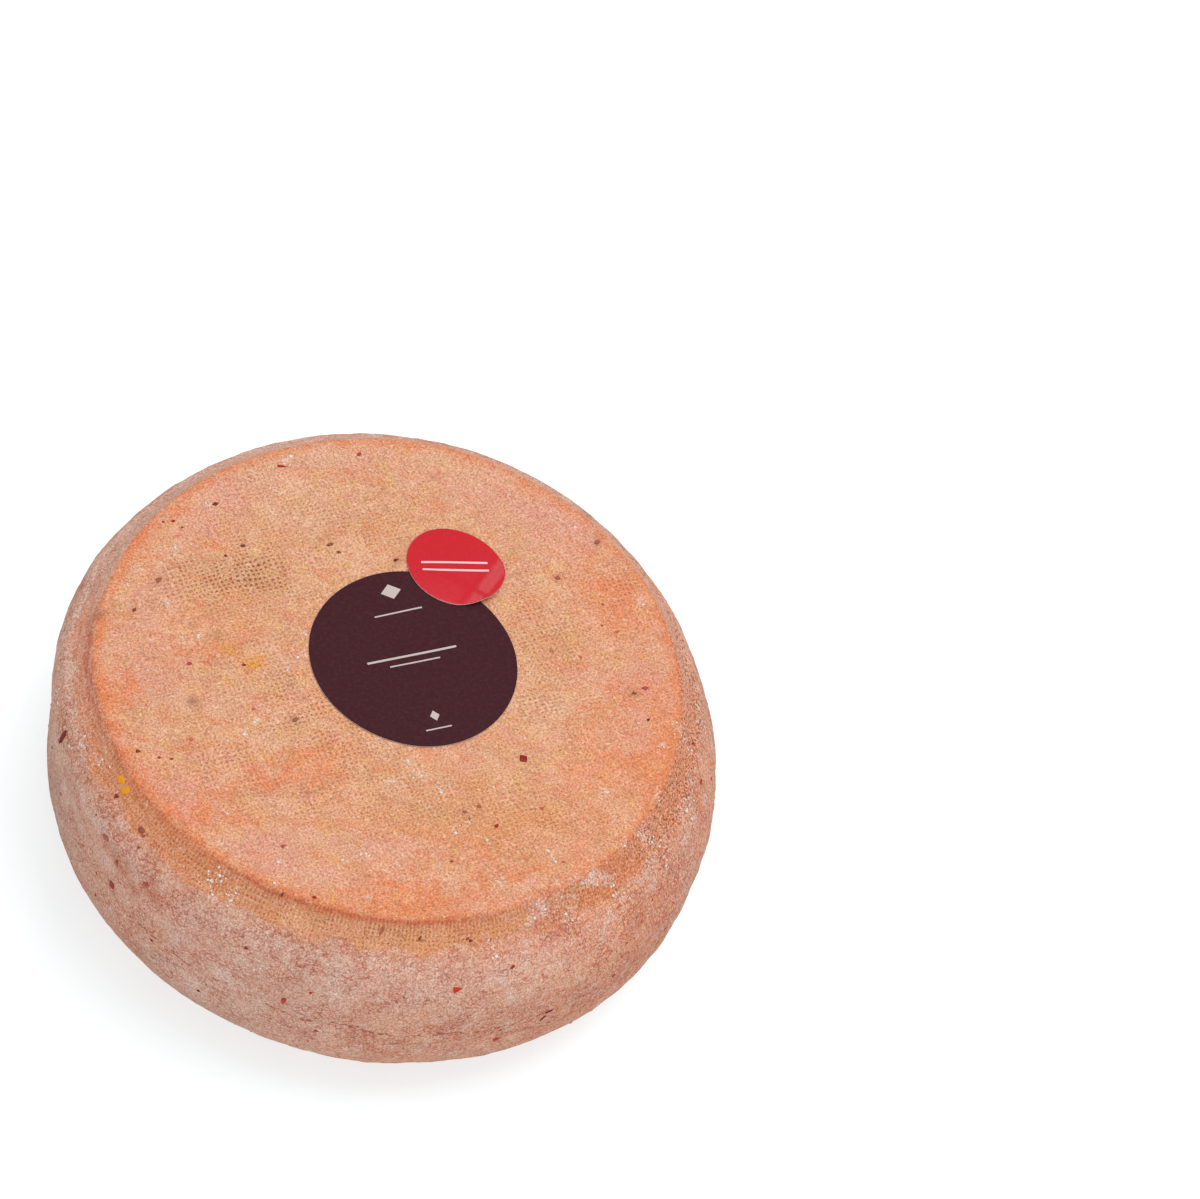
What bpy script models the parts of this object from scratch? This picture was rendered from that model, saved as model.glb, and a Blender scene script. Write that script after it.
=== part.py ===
"""A washed-rind cheese wheel with chilli flakes, a round paper label and a small round sticker.

Metres, +Z up. The origin is the centre of the resting face, and -Y is the side towards the viewer.
"""

import math

import bmesh
import bpy
import numpy as np
from mathutils import Matrix, Vector

MM = 0.001

# Driving dimensions of the wheel
GIRTH_RADIUS = 113.2 * MM  # at the fullest part of the side, half way up
WHEEL_HEIGHT = 84.0 * MM
TOP_RADIUS = 96.7 * MM  # the ring where the top face turns into the sloping band
FOOT_RADIUS = 93.0 * MM  # the flat face that the wheel rests on
RIDGE_RADIUS = 106.2 * MM  # the soft ridge under the band, where the cloth ended
RIDGE_HEIGHT = 74.3 * MM
SHOULDER_POWER = 3.4  # how late the side turns in towards the top
FOOT_POWER = 3.2
CROWN = 0.6 * MM  # rise of the top face towards its middle
GROOVE_DEPTH = 0.4 * MM  # hollow of the sloping band
EDGE_ROUND = 1.5 * MM  # how far the top's rounded edge reaches out, and how far down
EDGE_DROP = 1.3 * MM
FOOT_FLAT = 5.0 * MM  # the last ring of the base, in from its edge
AROUND = 100  # segments round the wheel
TOP_RINGS_MM = (12, 24, 35, 46, 56, 65, 73, 80, 86, 90.5, 94)
SIDE_HEIGHTS_MM = (69, 63, 56, 48.5, 41, 33, 25, 17.5, 11, 6, 2.5)

# How the real wheel is out of true
RING_SHIFT = (-3.7 * MM, -1.3 * MM)  # the top ring's centre, off the middle of the girth
TOP_TILT = (-2.8 * MM, 1.1 * MM)  # rise of the top face at its edge, towards +X and +Y
RING_HARMONICS = ((2, 0.27 * MM, 1.86 * MM), (3, -0.21 * MM, -0.43 * MM))
GIRTH_HARMONICS = ((1, 0.30 * MM, -0.15 * MM), (2, -0.76 * MM, -0.48 * MM), (3, 0.33 * MM, -0.90 * MM))
LUMP_HEIGHT = 0.20 * MM
LUMP_LENGTH = 38.0 * MM
SWELL_HEIGHT = 0.30 * MM
SWELL_LENGTH = 46.0 * MM

# Creases that the cloth's folds pressed into the top: start, middle, end, half width and depth, in mm
CREASES_MM = (
    ((-6, -38), (-24, -54), (-50, -70), 3.6, 0.75),
    ((40, -59), (50, -64), (62, -59), 2.6, 0.60),
    ((69, -31), (74, -36), (80, -41), 2.4, 0.50),
    ((0, -85), (11, -79), (24, -73), 2.8, 0.50),
    ((6, -91), (19, -87), (32, -81), 5.0, 0.80),
    ((66, -12), (75, -10), (84, -7), 2.2, 0.40),
    ((-84, -18), (-62, 8), (-34, 34), 6.0, 0.45),
    ((-80, 20), (-58, 38), (-30, 60), 6.0, 0.40),
)

# Flakes of chilli that show: on the top by x and y, on the side by angle and height, then their length, in mm
TOP_FLAKES_MM = (
    (45, -21, 3.0), (42, -50, 2.2), (35, -44, 2.2), (55, -38, 2.2), (-59, 67, 4.2), (-35, 82, 2.2),
    (-76, 43, 3.0), (-85, 31, 2.2), (-63, 30, 2.4), (-86, 6, 3.0), (-35, 41, 3.4), (-32, 38, 2.4),
    (-88, -8, 2.4), (-68, -23, 2.4), (-51, -18, 2.2), (-30, -33, 2.2), (-44, -34, 2.0), (-22, -81, 3.0),
    (-13, 42.5, 3.2), (51, 75, 3.2), (65, 41, 2.2), (79, 22, 3.0), (75, 18, 2.6), (41, 55, 2.4),
)
SIDE_FLAKES_MM = (
    (-155, 62, 4.4), (-137, 78, 5.2), (-137, 73, 2.6), (-129, 59, 4.2), (-130, 46, 4.0), (-123, 62, 3.4),
    (-94, 46, 3.0), (-88, 35, 2.2), (-67, 63, 3.8), (-57, 32, 3.8), (-49, 41, 3.6), (-65, 76, 2.4),
    (-74, 77, 2.6), (0, 69, 2.6), (6, 74, 2.2), (-36, 44, 2.4),
)
REAR_FLAKES = 14  # on the far side, which the photograph doesn't show
FLAKE_STANDS = 0.40 * MM
FLAKE_SINKS = 1.20 * MM
FLAKE_SEED = 7

# Driving dimensions of the paper
LABEL_RADIUS = 35.0 * MM
LABEL_CENTRE = (1.6 * MM, 4.9 * MM)
STICKER_RADIUS = 16.3 * MM
STICKER_CENTRE = (6.7 * MM, 46.4 * MM)
STICKER_HARMONICS = ((2, 0.60 * MM, -0.18 * MM), (3, 0.12 * MM, 0.12 * MM))
PAPER_THICKNESS = 0.3 * MM
PAPER_GAP = 0.3 * MM
STICKER_STEP = 0.75 * MM  # how far the sticker climbs on to the label
STEP_START = 36.5 * MM  # from the label's centre, where the sticker is still at full height
STEP_END = 42.0 * MM
CURL_HEIGHT = 1.8 * MM  # the edge of the sticker that has come unstuck
CURL_DIRECTION = (0.95, -0.31)
CURL_START = 7.0 * MM
LABEL_GRID = (7, 56)  # rings and segments
STICKER_GRID = (6, 40)

# Colours as they look: rind, brown paper, red paper
RIND_COLOUR = "D9A07C"
LABEL_COLOUR = "4A2A30"
STICKER_COLOUR = "C92437"


def clear_scene():
    for obj in list(bpy.data.objects):
        bpy.data.objects.remove(obj)


def linear_colour(hex_colour):
    """A colour written as sRGB hex, as the linear values that the shader reads."""
    values = [int(hex_colour[i : i + 2], 16) / 255 for i in (0, 2, 4)]
    return [v / 12.92 if v <= 0.04045 else ((v + 0.055) / 1.055) ** 2.4 for v in values] + [1.0]


def make_material(name, hex_colour, roughness):
    material = bpy.data.materials.new(name)
    material.use_nodes = True
    shader = material.node_tree.nodes["Principled BSDF"]
    shader.inputs["Base Color"].default_value = linear_colour(hex_colour)
    shader.inputs["Roughness"].default_value = roughness
    shader.inputs["Metallic"].default_value = 0.0
    return material


def smooth_step(value, low, high):
    """0 up to low, 1 from high, and an even S between them."""
    t = np.clip((value - low) / (high - low), 0.0, 1.0)
    return t * t * (3 - 2 * t)


def swell(x, y, z, length, seed, waves=9):
    """Soft lumps of about that length: a sum of plane waves in seeded directions, from -1 to 1 or so."""
    rng = np.random.default_rng(seed)
    total = np.zeros_like(np.asarray(x, float))
    for _ in range(waves):
        direction = rng.normal(size=3)
        direction /= np.linalg.norm(direction)
        step = 2 * math.pi / (length * rng.uniform(0.75, 1.35))
        total += np.sin(step * (direction[0] * x + direction[1] * y + direction[2] * z) + rng.uniform(0, 2 * math.pi))
    return total / math.sqrt(waves)


def harmonic_sum(angle, harmonics):
    return sum(c * np.cos(k * angle) + s * np.sin(k * angle) for k, c, s in harmonics)


def side_radius(height):
    """The turned side before it is made uneven: full at half height, turning in towards the top and foot."""
    share = 2 * height / WHEEL_HEIGHT - 1
    upper = GIRTH_RADIUS - (GIRTH_RADIUS - TOP_RADIUS) * np.abs(share) ** SHOULDER_POWER
    lower = GIRTH_RADIUS - (GIRTH_RADIUS - FOOT_RADIUS) * np.abs(share) ** FOOT_POWER
    return np.where(share > 0, upper, lower)


def crowned_height(radius):
    """The top face before it is made uneven: a very shallow dome."""
    return WHEEL_HEIGHT + CROWN * (1 - (radius / TOP_RADIUS) ** 2)


def turned_profile():
    """(radius, height) points from the middle of the top, out over the shoulder and down to the foot."""
    points = [(r * MM, crowned_height(r * MM)) for r in (0.0, *TOP_RINGS_MM)]
    edge_out = TOP_RADIUS + EDGE_ROUND
    edge_down = WHEEL_HEIGHT - EDGE_DROP
    points += [(TOP_RADIUS, WHEEL_HEIGHT - 0.2 * EDGE_DROP), (edge_out, edge_down)]
    for share in (0.33, 0.7):
        hollow = GROOVE_DEPTH * math.sin(math.pi * share)
        radius = edge_out + share * (RIDGE_RADIUS - edge_out) - hollow
        height = edge_down + share * (RIDGE_HEIGHT - edge_down) - hollow
        points.append((radius, height))
    points.append((RIDGE_RADIUS, RIDGE_HEIGHT))
    points += [(float(side_radius(h * MM)), h * MM) for h in SIDE_HEIGHTS_MM]
    points += [(FOOT_RADIUS, 0.0), (FOOT_RADIUS - FOOT_FLAT, 0.0)]
    return points


def crease_depth(x, y):
    """How far the folds of the cloth press the top face down: a soft valley along each crease's curve."""
    depth = np.zeros_like(np.asarray(x, float))
    for start, middle, end, half_width, deep in CREASES_MM:
        a, b, c = (np.array(p) * MM for p in (start, middle, end))
        nearest = np.full_like(depth, 1.0)
        along = np.zeros_like(depth)
        for t in np.linspace(0, 1, 17):
            px, py = (1 - t) ** 2 * a + 2 * t * (1 - t) * (2 * b - (a + c) / 2) + t * t * c
            d = np.hypot(x - px, y - py)
            along = np.where(d < nearest, t, along)
            nearest = np.minimum(nearest, d)
        ends = np.sin(math.pi * np.clip(along, 0.06, 0.94)) ** 0.5
        depth += deep * MM * ends * np.exp(-((nearest / (half_width * MM)) ** 2))
    return depth


def made_uneven(x, y, z):
    """Moves points of the turned wheel to where the real, uneven wheel has them."""
    angle = np.arctan2(y, x)
    radius = np.hypot(x, y)
    upper = smooth_step(z, 0.58 * WHEEL_HEIGHT, 0.90 * WHEEL_HEIGHT)
    belly = 1 - np.abs(2 * z / WHEEL_HEIGHT - 1) ** 4
    on_side = smooth_step(radius, 0.9 * TOP_RADIUS, GIRTH_RADIUS) * smooth_step(z, 0.0, 0.12 * WHEEL_HEIGHT)
    on_top = smooth_step(z, 0.97 * WHEEL_HEIGHT, WHEEL_HEIGHT)
    grow = upper * np.minimum(radius / TOP_RADIUS, 1) * harmonic_sum(angle, RING_HARMONICS)
    grow = grow + np.clip(belly, 0, 1) * on_side * harmonic_sum(angle, GIRTH_HARMONICS)
    grow = grow + LUMP_HEIGHT * on_side * swell(x, y, z, LUMP_LENGTH, seed=3)
    moved_x = x + grow * np.cos(angle) + upper * RING_SHIFT[0]
    moved_y = y + grow * np.sin(angle) + upper * RING_SHIFT[1]
    tilt = (TOP_TILT[0] * moved_x + TOP_TILT[1] * moved_y) / TOP_RADIUS
    lift = z / WHEEL_HEIGHT * tilt
    lift = lift + on_top * (SWELL_HEIGHT * swell(moved_x, moved_y, 0 * z, SWELL_LENGTH, seed=5))
    lift = lift - on_top * crease_depth(moved_x, moved_y)
    return moved_x, moved_y, z + lift


def top_height(x, y):
    """Height of the uneven top face over a point that lies inside the ring."""
    x, y = np.asarray(x, float), np.asarray(y, float)
    height = crowned_height(np.hypot(x - RING_SHIFT[0], y - RING_SHIFT[1]))
    tilt = (TOP_TILT[0] * x + TOP_TILT[1] * y) / TOP_RADIUS
    return height + tilt + SWELL_HEIGHT * swell(x, y, 0 * x, SWELL_LENGTH, seed=5) - crease_depth(x, y)


def make_wheel(material):
    """Spins the profile into a closed wheel, then makes it uneven."""
    mesh = bmesh.new()
    points = [mesh.verts.new((r, 0.0, h)) for r, h in turned_profile()]
    edges = [mesh.edges.new(pair) for pair in zip(points, points[1:])]
    bmesh.ops.spin(
        mesh, geom=points + edges, cent=(0, 0, 0), axis=(0, 0, 1), angle=2 * math.pi, steps=AROUND, use_merge=True
    )
    bmesh.ops.remove_doubles(mesh, verts=mesh.verts, dist=0.001 * MM)
    rim = [e for e in mesh.edges if e.is_boundary]
    bmesh.ops.contextual_create(mesh, geom=rim)
    place = np.array([v.co for v in mesh.verts])
    moved = np.stack(made_uneven(*place.T), axis=1)
    for vertex, co in zip(mesh.verts, moved):
        vertex.co = co
    bmesh.ops.recalc_face_normals(mesh, faces=mesh.faces)
    return finish_object("cheese_wheel", mesh, material)


def finish_object(name, mesh, material):
    data = bpy.data.meshes.new(name)
    mesh.to_mesh(data)
    mesh.free()
    obj = bpy.data.objects.new(name, data)
    bpy.context.scene.collection.objects.link(obj)
    data.materials.append(material)
    data.shade_smooth()
    return obj


def surface_point(angle, height):
    """A point of the uneven side and its outward direction, by angle and height."""
    radii, heights = np.array(turned_profile()[len(TOP_RINGS_MM) + 2 :][::-1]).T
    radius, above, below = np.interp((height, height + 1.0 * MM, height - 1.0 * MM), heights, radii)
    spot = made_uneven(radius * math.cos(angle), radius * math.sin(angle), height)
    outward = Vector((math.cos(angle), math.sin(angle), (below - above) / (2.0 * MM)))
    return Vector([float(v) for v in spot]), outward.normalized()


def make_flake(name, spot, outward, length, rng, material):
    """A small uneven prism of five or six corners, sunk in the rind with its face just proud of it."""
    corners = int(rng.integers(5, 7))
    width = length * rng.uniform(0.45, 0.7)
    mesh = bmesh.new()
    ring = []
    for i in range(corners):
        turn = 2 * math.pi * (i + rng.uniform(-0.22, 0.22)) / corners
        reach = rng.uniform(0.8, 1.1) / 2
        ring.append(mesh.verts.new((length * reach * math.cos(turn), width * reach * math.sin(turn), -FLAKE_SINKS)))
    base = mesh.faces.new(ring)
    grown = bmesh.ops.extrude_face_region(mesh, geom=[base])["geom"]
    for vertex in (v for v in grown if isinstance(v, bmesh.types.BMVert)):
        vertex.co.z = FLAKE_STANDS
    bmesh.ops.recalc_face_normals(mesh, faces=mesh.faces)
    frame = outward.to_track_quat("Z", "Y").to_matrix().to_4x4()
    turned = Matrix.Rotation(rng.uniform(0, math.pi), 4, "Z")
    bmesh.ops.transform(mesh, matrix=Matrix.Translation(spot) @ frame @ turned, verts=mesh.verts)
    return finish_object(name, mesh, material)


def make_flakes(material):
    """All the flakes: those that show in the photograph, then a seeded few on the far side."""
    rng = np.random.default_rng(FLAKE_SEED)
    spots = []
    for x, y, length in TOP_FLAKES_MM:
        spots.append((Vector((x * MM, y * MM, float(top_height(x * MM, y * MM)))), Vector((0, 0, 1)), length * MM))
    for angle, height, length in SIDE_FLAKES_MM:
        spots.append((*surface_point(math.radians(angle), height * MM), length * MM))
    for i in range(REAR_FLAKES):
        angle = math.radians(18 + 180 * (i + rng.uniform(0.1, 0.9)) / REAR_FLAKES)
        spots.append((*surface_point(angle, rng.uniform(18, 70) * MM), rng.uniform(2.0, 4.0) * MM))
    return [make_flake(f"flake_{i:02d}", *spot, rng, material) for i, spot in enumerate(spots)]


def fuse(wheel, pieces):
    """Joins the flakes to the wheel with one Boolean union and removes them."""
    group = bpy.data.collections.new("flakes")
    bpy.context.scene.collection.children.link(group)
    for piece in pieces:
        bpy.context.scene.collection.objects.unlink(piece)
        group.objects.link(piece)
    union = wheel.modifiers.new("flakes", "BOOLEAN")
    union.operation = "UNION"
    union.operand_type = "COLLECTION"
    union.collection = group
    union.solver = "EXACT"
    bpy.context.view_layer.update()
    fused = bpy.data.meshes.new_from_object(wheel.evaluated_get(bpy.context.evaluated_depsgraph_get()))
    wheel.modifiers.clear()
    wheel.data = fused
    for piece in list(group.objects):
        bpy.data.objects.remove(piece)
    bpy.data.collections.remove(group)


def make_paper(name, centre, radius, harmonics, height_at, grid, material):
    """A disc of paper: rings of points laid over the surface below, given thickness upwards."""
    rings, around = grid
    mesh = bmesh.new()
    angles = np.arange(around) * 2 * math.pi / around
    middle = mesh.verts.new((*centre, float(height_at(*centre))))
    inner = None
    for share in np.arange(1, rings + 1) / rings:
        reach = share * (radius + share * harmonic_sum(angles, harmonics))
        x = centre[0] + reach * np.cos(angles)
        y = centre[1] + reach * np.sin(angles)
        outer = [mesh.verts.new(point) for point in zip(x, y, height_at(x, y))]
        for i in range(around):
            j = (i + 1) % around
            corners = (middle, outer[i], outer[j]) if inner is None else (inner[i], outer[i], outer[j], inner[j])
            mesh.faces.new(corners)
        inner = outer
    paper = finish_object(name, mesh, material)
    thickness = paper.modifiers.new("thickness", "SOLIDIFY")
    thickness.thickness = PAPER_THICKNESS
    thickness.offset = 1.0
    return paper


def label_height(x, y):
    return top_height(x, y) + PAPER_GAP


def sticker_height(x, y):
    """Flat on the rind, up over the label's edge, and lifting where it has come unstuck."""
    from_label = np.hypot(x - LABEL_CENTRE[0], y - LABEL_CENTRE[1])
    climb = STICKER_STEP * (1 - smooth_step(from_label, STEP_START, STEP_END))
    across = (x - STICKER_CENTRE[0]) * CURL_DIRECTION[0] + (y - STICKER_CENTRE[1]) * CURL_DIRECTION[1]
    curl = CURL_HEIGHT * smooth_step(across, CURL_START, STICKER_RADIUS) ** 1.5
    return top_height(x, y) + PAPER_GAP + climb + curl


def main():
    clear_scene()
    rind = make_material("rind", RIND_COLOUR, 0.7)
    brown = make_material("brown_paper", LABEL_COLOUR, 0.55)
    red = make_material("red_paper", STICKER_COLOUR, 0.35)
    wheel = make_wheel(rind)
    fuse(wheel, make_flakes(rind))
    make_paper("round_label", LABEL_CENTRE, LABEL_RADIUS, (), label_height, LABEL_GRID, brown)
    make_paper(
        "round_sticker", STICKER_CENTRE, STICKER_RADIUS, STICKER_HARMONICS, sticker_height, STICKER_GRID, red
    )


main()
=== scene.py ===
# %% [markdown]
# # A small washed-rind cheese wheel
#
# The real thing is a wheel of semi-soft cheese about 226 mm across. It was pressed in a cloth, which left
# its weave in the top, then washed while it ripened, which turned the rind orange and pink, and a thin pale
# bloom grew over the sides. A round brown paper label is glued on top, and a small red sticker overlaps it.
#
# The solids come from a fixed frame. Each of them is replaced here by a finer surface of the same form. The
# chilli flakes, which the frame holds only as relief, and the white mould get pieces of their own.

import math

import bpy
import numpy as np
from mathutils import Matrix, Vector
from mathutils.bvhtree import BVHTree


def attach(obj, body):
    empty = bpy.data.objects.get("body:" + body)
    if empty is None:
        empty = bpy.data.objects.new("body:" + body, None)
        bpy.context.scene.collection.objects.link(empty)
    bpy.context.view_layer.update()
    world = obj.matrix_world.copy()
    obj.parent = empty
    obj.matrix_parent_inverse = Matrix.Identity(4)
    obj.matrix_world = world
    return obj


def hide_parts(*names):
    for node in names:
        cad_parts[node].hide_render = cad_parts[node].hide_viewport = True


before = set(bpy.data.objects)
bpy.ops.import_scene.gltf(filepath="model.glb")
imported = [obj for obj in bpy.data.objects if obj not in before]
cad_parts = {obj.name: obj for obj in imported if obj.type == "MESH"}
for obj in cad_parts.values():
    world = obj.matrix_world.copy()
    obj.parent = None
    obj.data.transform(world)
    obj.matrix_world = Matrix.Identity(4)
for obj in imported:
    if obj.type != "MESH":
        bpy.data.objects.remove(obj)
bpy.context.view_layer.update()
MM = 0.001
TURN = 2 * math.pi
print("nodes:", sorted(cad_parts))

# %% [markdown]
# ## Two small helpers for numbers
#
# Masks, creases and curled paper all need the same soft step, so it comes first. The second helper makes
# slow, natural-looking unevenness. A sum of sine waves in random directions is enough for that, is smooth
# everywhere, and gives the same result on every run because its directions come from a fixed seed.

# %% Soft steps and soft lumps
def smooth_step(value, low, high):
    """0 up to low, 1 from high, and an even S between them."""
    t = np.clip((value - low) / (high - low), 0.0, 1.0)
    return t * t * (3 - 2 * t)


def swell(x, y, z, length, seed, waves=9):
    """Soft lumps of about that length: a sum of plane waves in seeded directions, from -1 to 1 or so."""
    rng = np.random.default_rng(seed)
    total = np.zeros_like(np.asarray(x, float))
    for _ in range(waves):
        direction = rng.normal(size=3)
        direction /= np.linalg.norm(direction)
        step = TURN / (length * rng.uniform(0.75, 1.35))
        phase = rng.uniform(0, TURN)
        total += np.sin(step * (direction[0] * x + direction[1] * y + direction[2] * z) + phase)
    return total / math.sqrt(waves)


# %% [markdown]
# ## The wheel's form
#
# A cheese wheel is a turned form made uneven. The profile runs from the middle of the top over a rounded
# edge (the ring), down a sloping band where the cloth's edge lay, over a soft ridge, down the bulging side
# and in under the foot. The ring isn't quite concentric with the belly, the top face tilts by a degree or
# two, and folds of the cloth left creases. These are the sizes and formulas of the solid, so both agree.

# %% Driving sizes of the wheel
GIRTH_RADIUS = 113.2 * MM
WHEEL_HEIGHT = 84.0 * MM
TOP_RADIUS = 96.7 * MM
FOOT_RADIUS = 93.0 * MM
RIDGE_RADIUS = 106.2 * MM
RIDGE_HEIGHT = 74.3 * MM
SHOULDER_POWER = 3.4
FOOT_POWER = 3.2
CROWN = 0.6 * MM
GROOVE_DEPTH = 0.4 * MM
EDGE_ROUND = 1.5 * MM
EDGE_DROP = 1.3 * MM
RING_SHIFT = (-3.7 * MM, -1.3 * MM)
TOP_TILT = (-2.8 * MM, 1.1 * MM)
RING_HARMONICS = ((2, 0.27 * MM, 1.86 * MM), (3, -0.21 * MM, -0.43 * MM))
GIRTH_HARMONICS = ((1, 0.30 * MM, -0.15 * MM), (2, -0.76 * MM, -0.48 * MM), (3, 0.33 * MM, -0.90 * MM))
LUMP_HEIGHT = 0.20 * MM
LUMP_LENGTH = 38.0 * MM
SWELL_HEIGHT = 0.30 * MM
SWELL_LENGTH = 46.0 * MM

# Creases on the top, in mm: start, middle, end, half width and depth
CREASES_MM = (
    ((-6, -38), (-24, -54), (-50, -70), 3.6, 0.75),
    ((40, -59), (50, -64), (62, -59), 2.6, 0.60),
    ((69, -31), (74, -36), (80, -41), 2.4, 0.50),
    ((0, -85), (11, -79), (24, -73), 2.8, 0.50),
    ((6, -91), (19, -87), (32, -81), 5.0, 0.80),
    ((66, -12), (75, -10), (84, -7), 2.2, 0.40),
    ((-84, -18), (-62, 8), (-34, 34), 6.0, 0.45),
    ((-80, 20), (-58, 38), (-30, 60), 6.0, 0.40),
)


# %% The turned profile, and how the real wheel departs from it
def side_radius(height):
    """A bulging side: the full radius at half height, less a power of the distance from there."""
    share = 2 * height / WHEEL_HEIGHT - 1
    upper = GIRTH_RADIUS - (GIRTH_RADIUS - TOP_RADIUS) * np.abs(share) ** SHOULDER_POWER
    lower = GIRTH_RADIUS - (GIRTH_RADIUS - FOOT_RADIUS) * np.abs(share) ** FOOT_POWER
    return np.where(share > 0, upper, lower)


def crowned_height(radius):
    """The top face before it is made uneven: a very shallow dome."""
    return WHEEL_HEIGHT + CROWN * (1 - (radius / TOP_RADIUS) ** 2)


def profile_keys():
    """(radius, height) points that the profile's curve passes through, from the middle of the top."""
    top = np.linspace(0, 0.97 * TOP_RADIUS, 12)
    edge_out = TOP_RADIUS + EDGE_ROUND
    edge_down = WHEEL_HEIGHT - EDGE_DROP
    points = list(zip(top, crowned_height(top)))
    points += [(TOP_RADIUS, WHEEL_HEIGHT - 0.2 * EDGE_DROP), (edge_out, edge_down)]
    for share in (0.33, 0.7):
        hollow = GROOVE_DEPTH * math.sin(math.pi * share)
        radius = edge_out + share * (RIDGE_RADIUS - edge_out) - hollow
        height = edge_down + share * (RIDGE_HEIGHT - edge_down) - hollow
        points.append((radius, height))
    points.append((RIDGE_RADIUS, RIDGE_HEIGHT))
    down = np.array((69, 63, 56, 48.5, 41, 33, 25, 17.5, 11, 6, 2.5)) * MM
    points += list(zip(side_radius(down), down))
    points += [(FOOT_RADIUS, 0.0), (FOOT_RADIUS - 5 * MM, 0.0), (0.5 * FOOT_RADIUS, 0.0), (2 * MM, 0.0)]
    return np.array(points)


def curve_through(keys, steps=24):
    """A smooth curve through the key points: each stretch blends its four nearest keys by cubics."""
    padded = np.concatenate((keys[:1], keys, keys[-1:]))
    t = np.linspace(0, 1, steps, endpoint=False)[:, None, None]
    a, b, c, d = padded[:-3], padded[1:-2], padded[2:-1], padded[3:]
    curve = 2 * b + (c - a) * t + (2 * a - 5 * b + 4 * c - d) * t**2 + (3 * b - a - 3 * c + d) * t**3
    curve = 0.5 * curve
    return np.concatenate((curve.transpose(1, 0, 2).reshape(-1, 2), keys[-1:]))


def harmonic_sum(angle, harmonics):
    return sum(c * np.cos(k * angle) + s * np.sin(k * angle) for k, c, s in harmonics)


def crease_depth(x, y):
    """How far the cloth's folds press the top down: a soft valley along each crease's curve."""
    depth = np.zeros_like(np.asarray(x, float))
    for start, middle, end, half_width, deep in CREASES_MM:
        a, b, c = (np.array(p) * MM for p in (start, middle, end))
        nearest = np.full_like(depth, 1.0)
        along = np.zeros_like(depth)
        for t in np.linspace(0, 1, 17):
            px, py = (1 - t) ** 2 * a + 2 * t * (1 - t) * (2 * b - (a + c) / 2) + t * t * c
            d = np.hypot(x - px, y - py)
            along = np.where(d < nearest, t, along)
            nearest = np.minimum(nearest, d)
        ends = np.sin(math.pi * np.clip(along, 0.06, 0.94)) ** 0.5
        depth += deep * MM * ends * np.exp(-((nearest / (half_width * MM)) ** 2))
    return depth


def made_uneven(x, y, z):
    """Moves points of the turned wheel to where the real, uneven wheel has them."""
    angle = np.arctan2(y, x)
    radius = np.hypot(x, y)
    upper = smooth_step(z, 0.58 * WHEEL_HEIGHT, 0.90 * WHEEL_HEIGHT)
    belly = 1 - np.abs(2 * z / WHEEL_HEIGHT - 1) ** 4
    on_side = smooth_step(radius, 0.9 * TOP_RADIUS, GIRTH_RADIUS) * smooth_step(z, 0.0, 0.12 * WHEEL_HEIGHT)
    on_top = smooth_step(z, 0.97 * WHEEL_HEIGHT, WHEEL_HEIGHT)
    grow = upper * np.minimum(radius / TOP_RADIUS, 1) * harmonic_sum(angle, RING_HARMONICS)
    grow = grow + np.clip(belly, 0, 1) * on_side * harmonic_sum(angle, GIRTH_HARMONICS)
    grow = grow + LUMP_HEIGHT * on_side * swell(x, y, z, LUMP_LENGTH, seed=3)
    moved_x = x + grow * np.cos(angle) + upper * RING_SHIFT[0]
    moved_y = y + grow * np.sin(angle) + upper * RING_SHIFT[1]
    tilt = (TOP_TILT[0] * moved_x + TOP_TILT[1] * moved_y) / TOP_RADIUS
    lift = z / WHEEL_HEIGHT * tilt
    lift = lift + on_top * (SWELL_HEIGHT * swell(moved_x, moved_y, 0 * z, SWELL_LENGTH, seed=5))
    lift = lift - on_top * crease_depth(moved_x, moved_y)
    return moved_x, moved_y, z + lift


def top_height(x, y):
    """Height of the uneven top face over a point that lies inside the ring."""
    x, y = np.asarray(x, float), np.asarray(y, float)
    height = crowned_height(np.hypot(x - RING_SHIFT[0], y - RING_SHIFT[1]))
    tilt = (TOP_TILT[0] * x + TOP_TILT[1] * y) / TOP_RADIUS
    return height + tilt + SWELL_HEIGHT * swell(x, y, 0 * x, SWELL_LENGTH, seed=5) - crease_depth(x, y)


# %% [markdown]
# ## A grid of points from two parameters
#
# One parameter is the distance along the profile and the other the angle round the wheel. The rows are
# close together where the eye looks for detail, 1 mm on the top and 0.75 mm over the ring and the band, and
# far apart under the label and the foot. That keeps the surface under 200,000 triangles.

# %% The grid
AROUND = 540
ZONES_MM = ((5.6, 28, 5.6), (28, 95, 1.0), (95, 113, 0.75), (113, 194, 1.15))  # from, to and step
FOOT_ROWS = 9
RING_AT = 96.7  # mm along the profile, where the top ends
RIDGE_AT = 110.6  # where the band ends

profile = curve_through(profile_keys())
travelled = np.concatenate(([0], np.cumsum(np.hypot(*np.diff(profile, axis=0).T)))) / MM
stations = np.concatenate([np.arange(*zone) for zone in ZONES_MM])
stations = np.concatenate((stations, np.linspace(194, travelled[-1], FOOT_ROWS)))
row_radius = np.interp(stations, travelled, profile[:, 0])
row_height = np.interp(stations, travelled, profile[:, 1])

angle = np.arange(AROUND) * TURN / AROUND
flat_x = row_radius[:, None] * np.cos(angle)
flat_y = row_radius[:, None] * np.sin(angle)
flat_z = np.repeat(row_height[:, None], AROUND, axis=1)
smooth_points = np.stack(made_uneven(flat_x, flat_y, flat_z), axis=-1)
smooth_points[..., 2] = np.maximum(smooth_points[..., 2], 0.0)  # the foot is flat
print(len(stations), "rows of", AROUND, "points; the profile is", round(travelled[-1], 1), "mm long")


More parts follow.
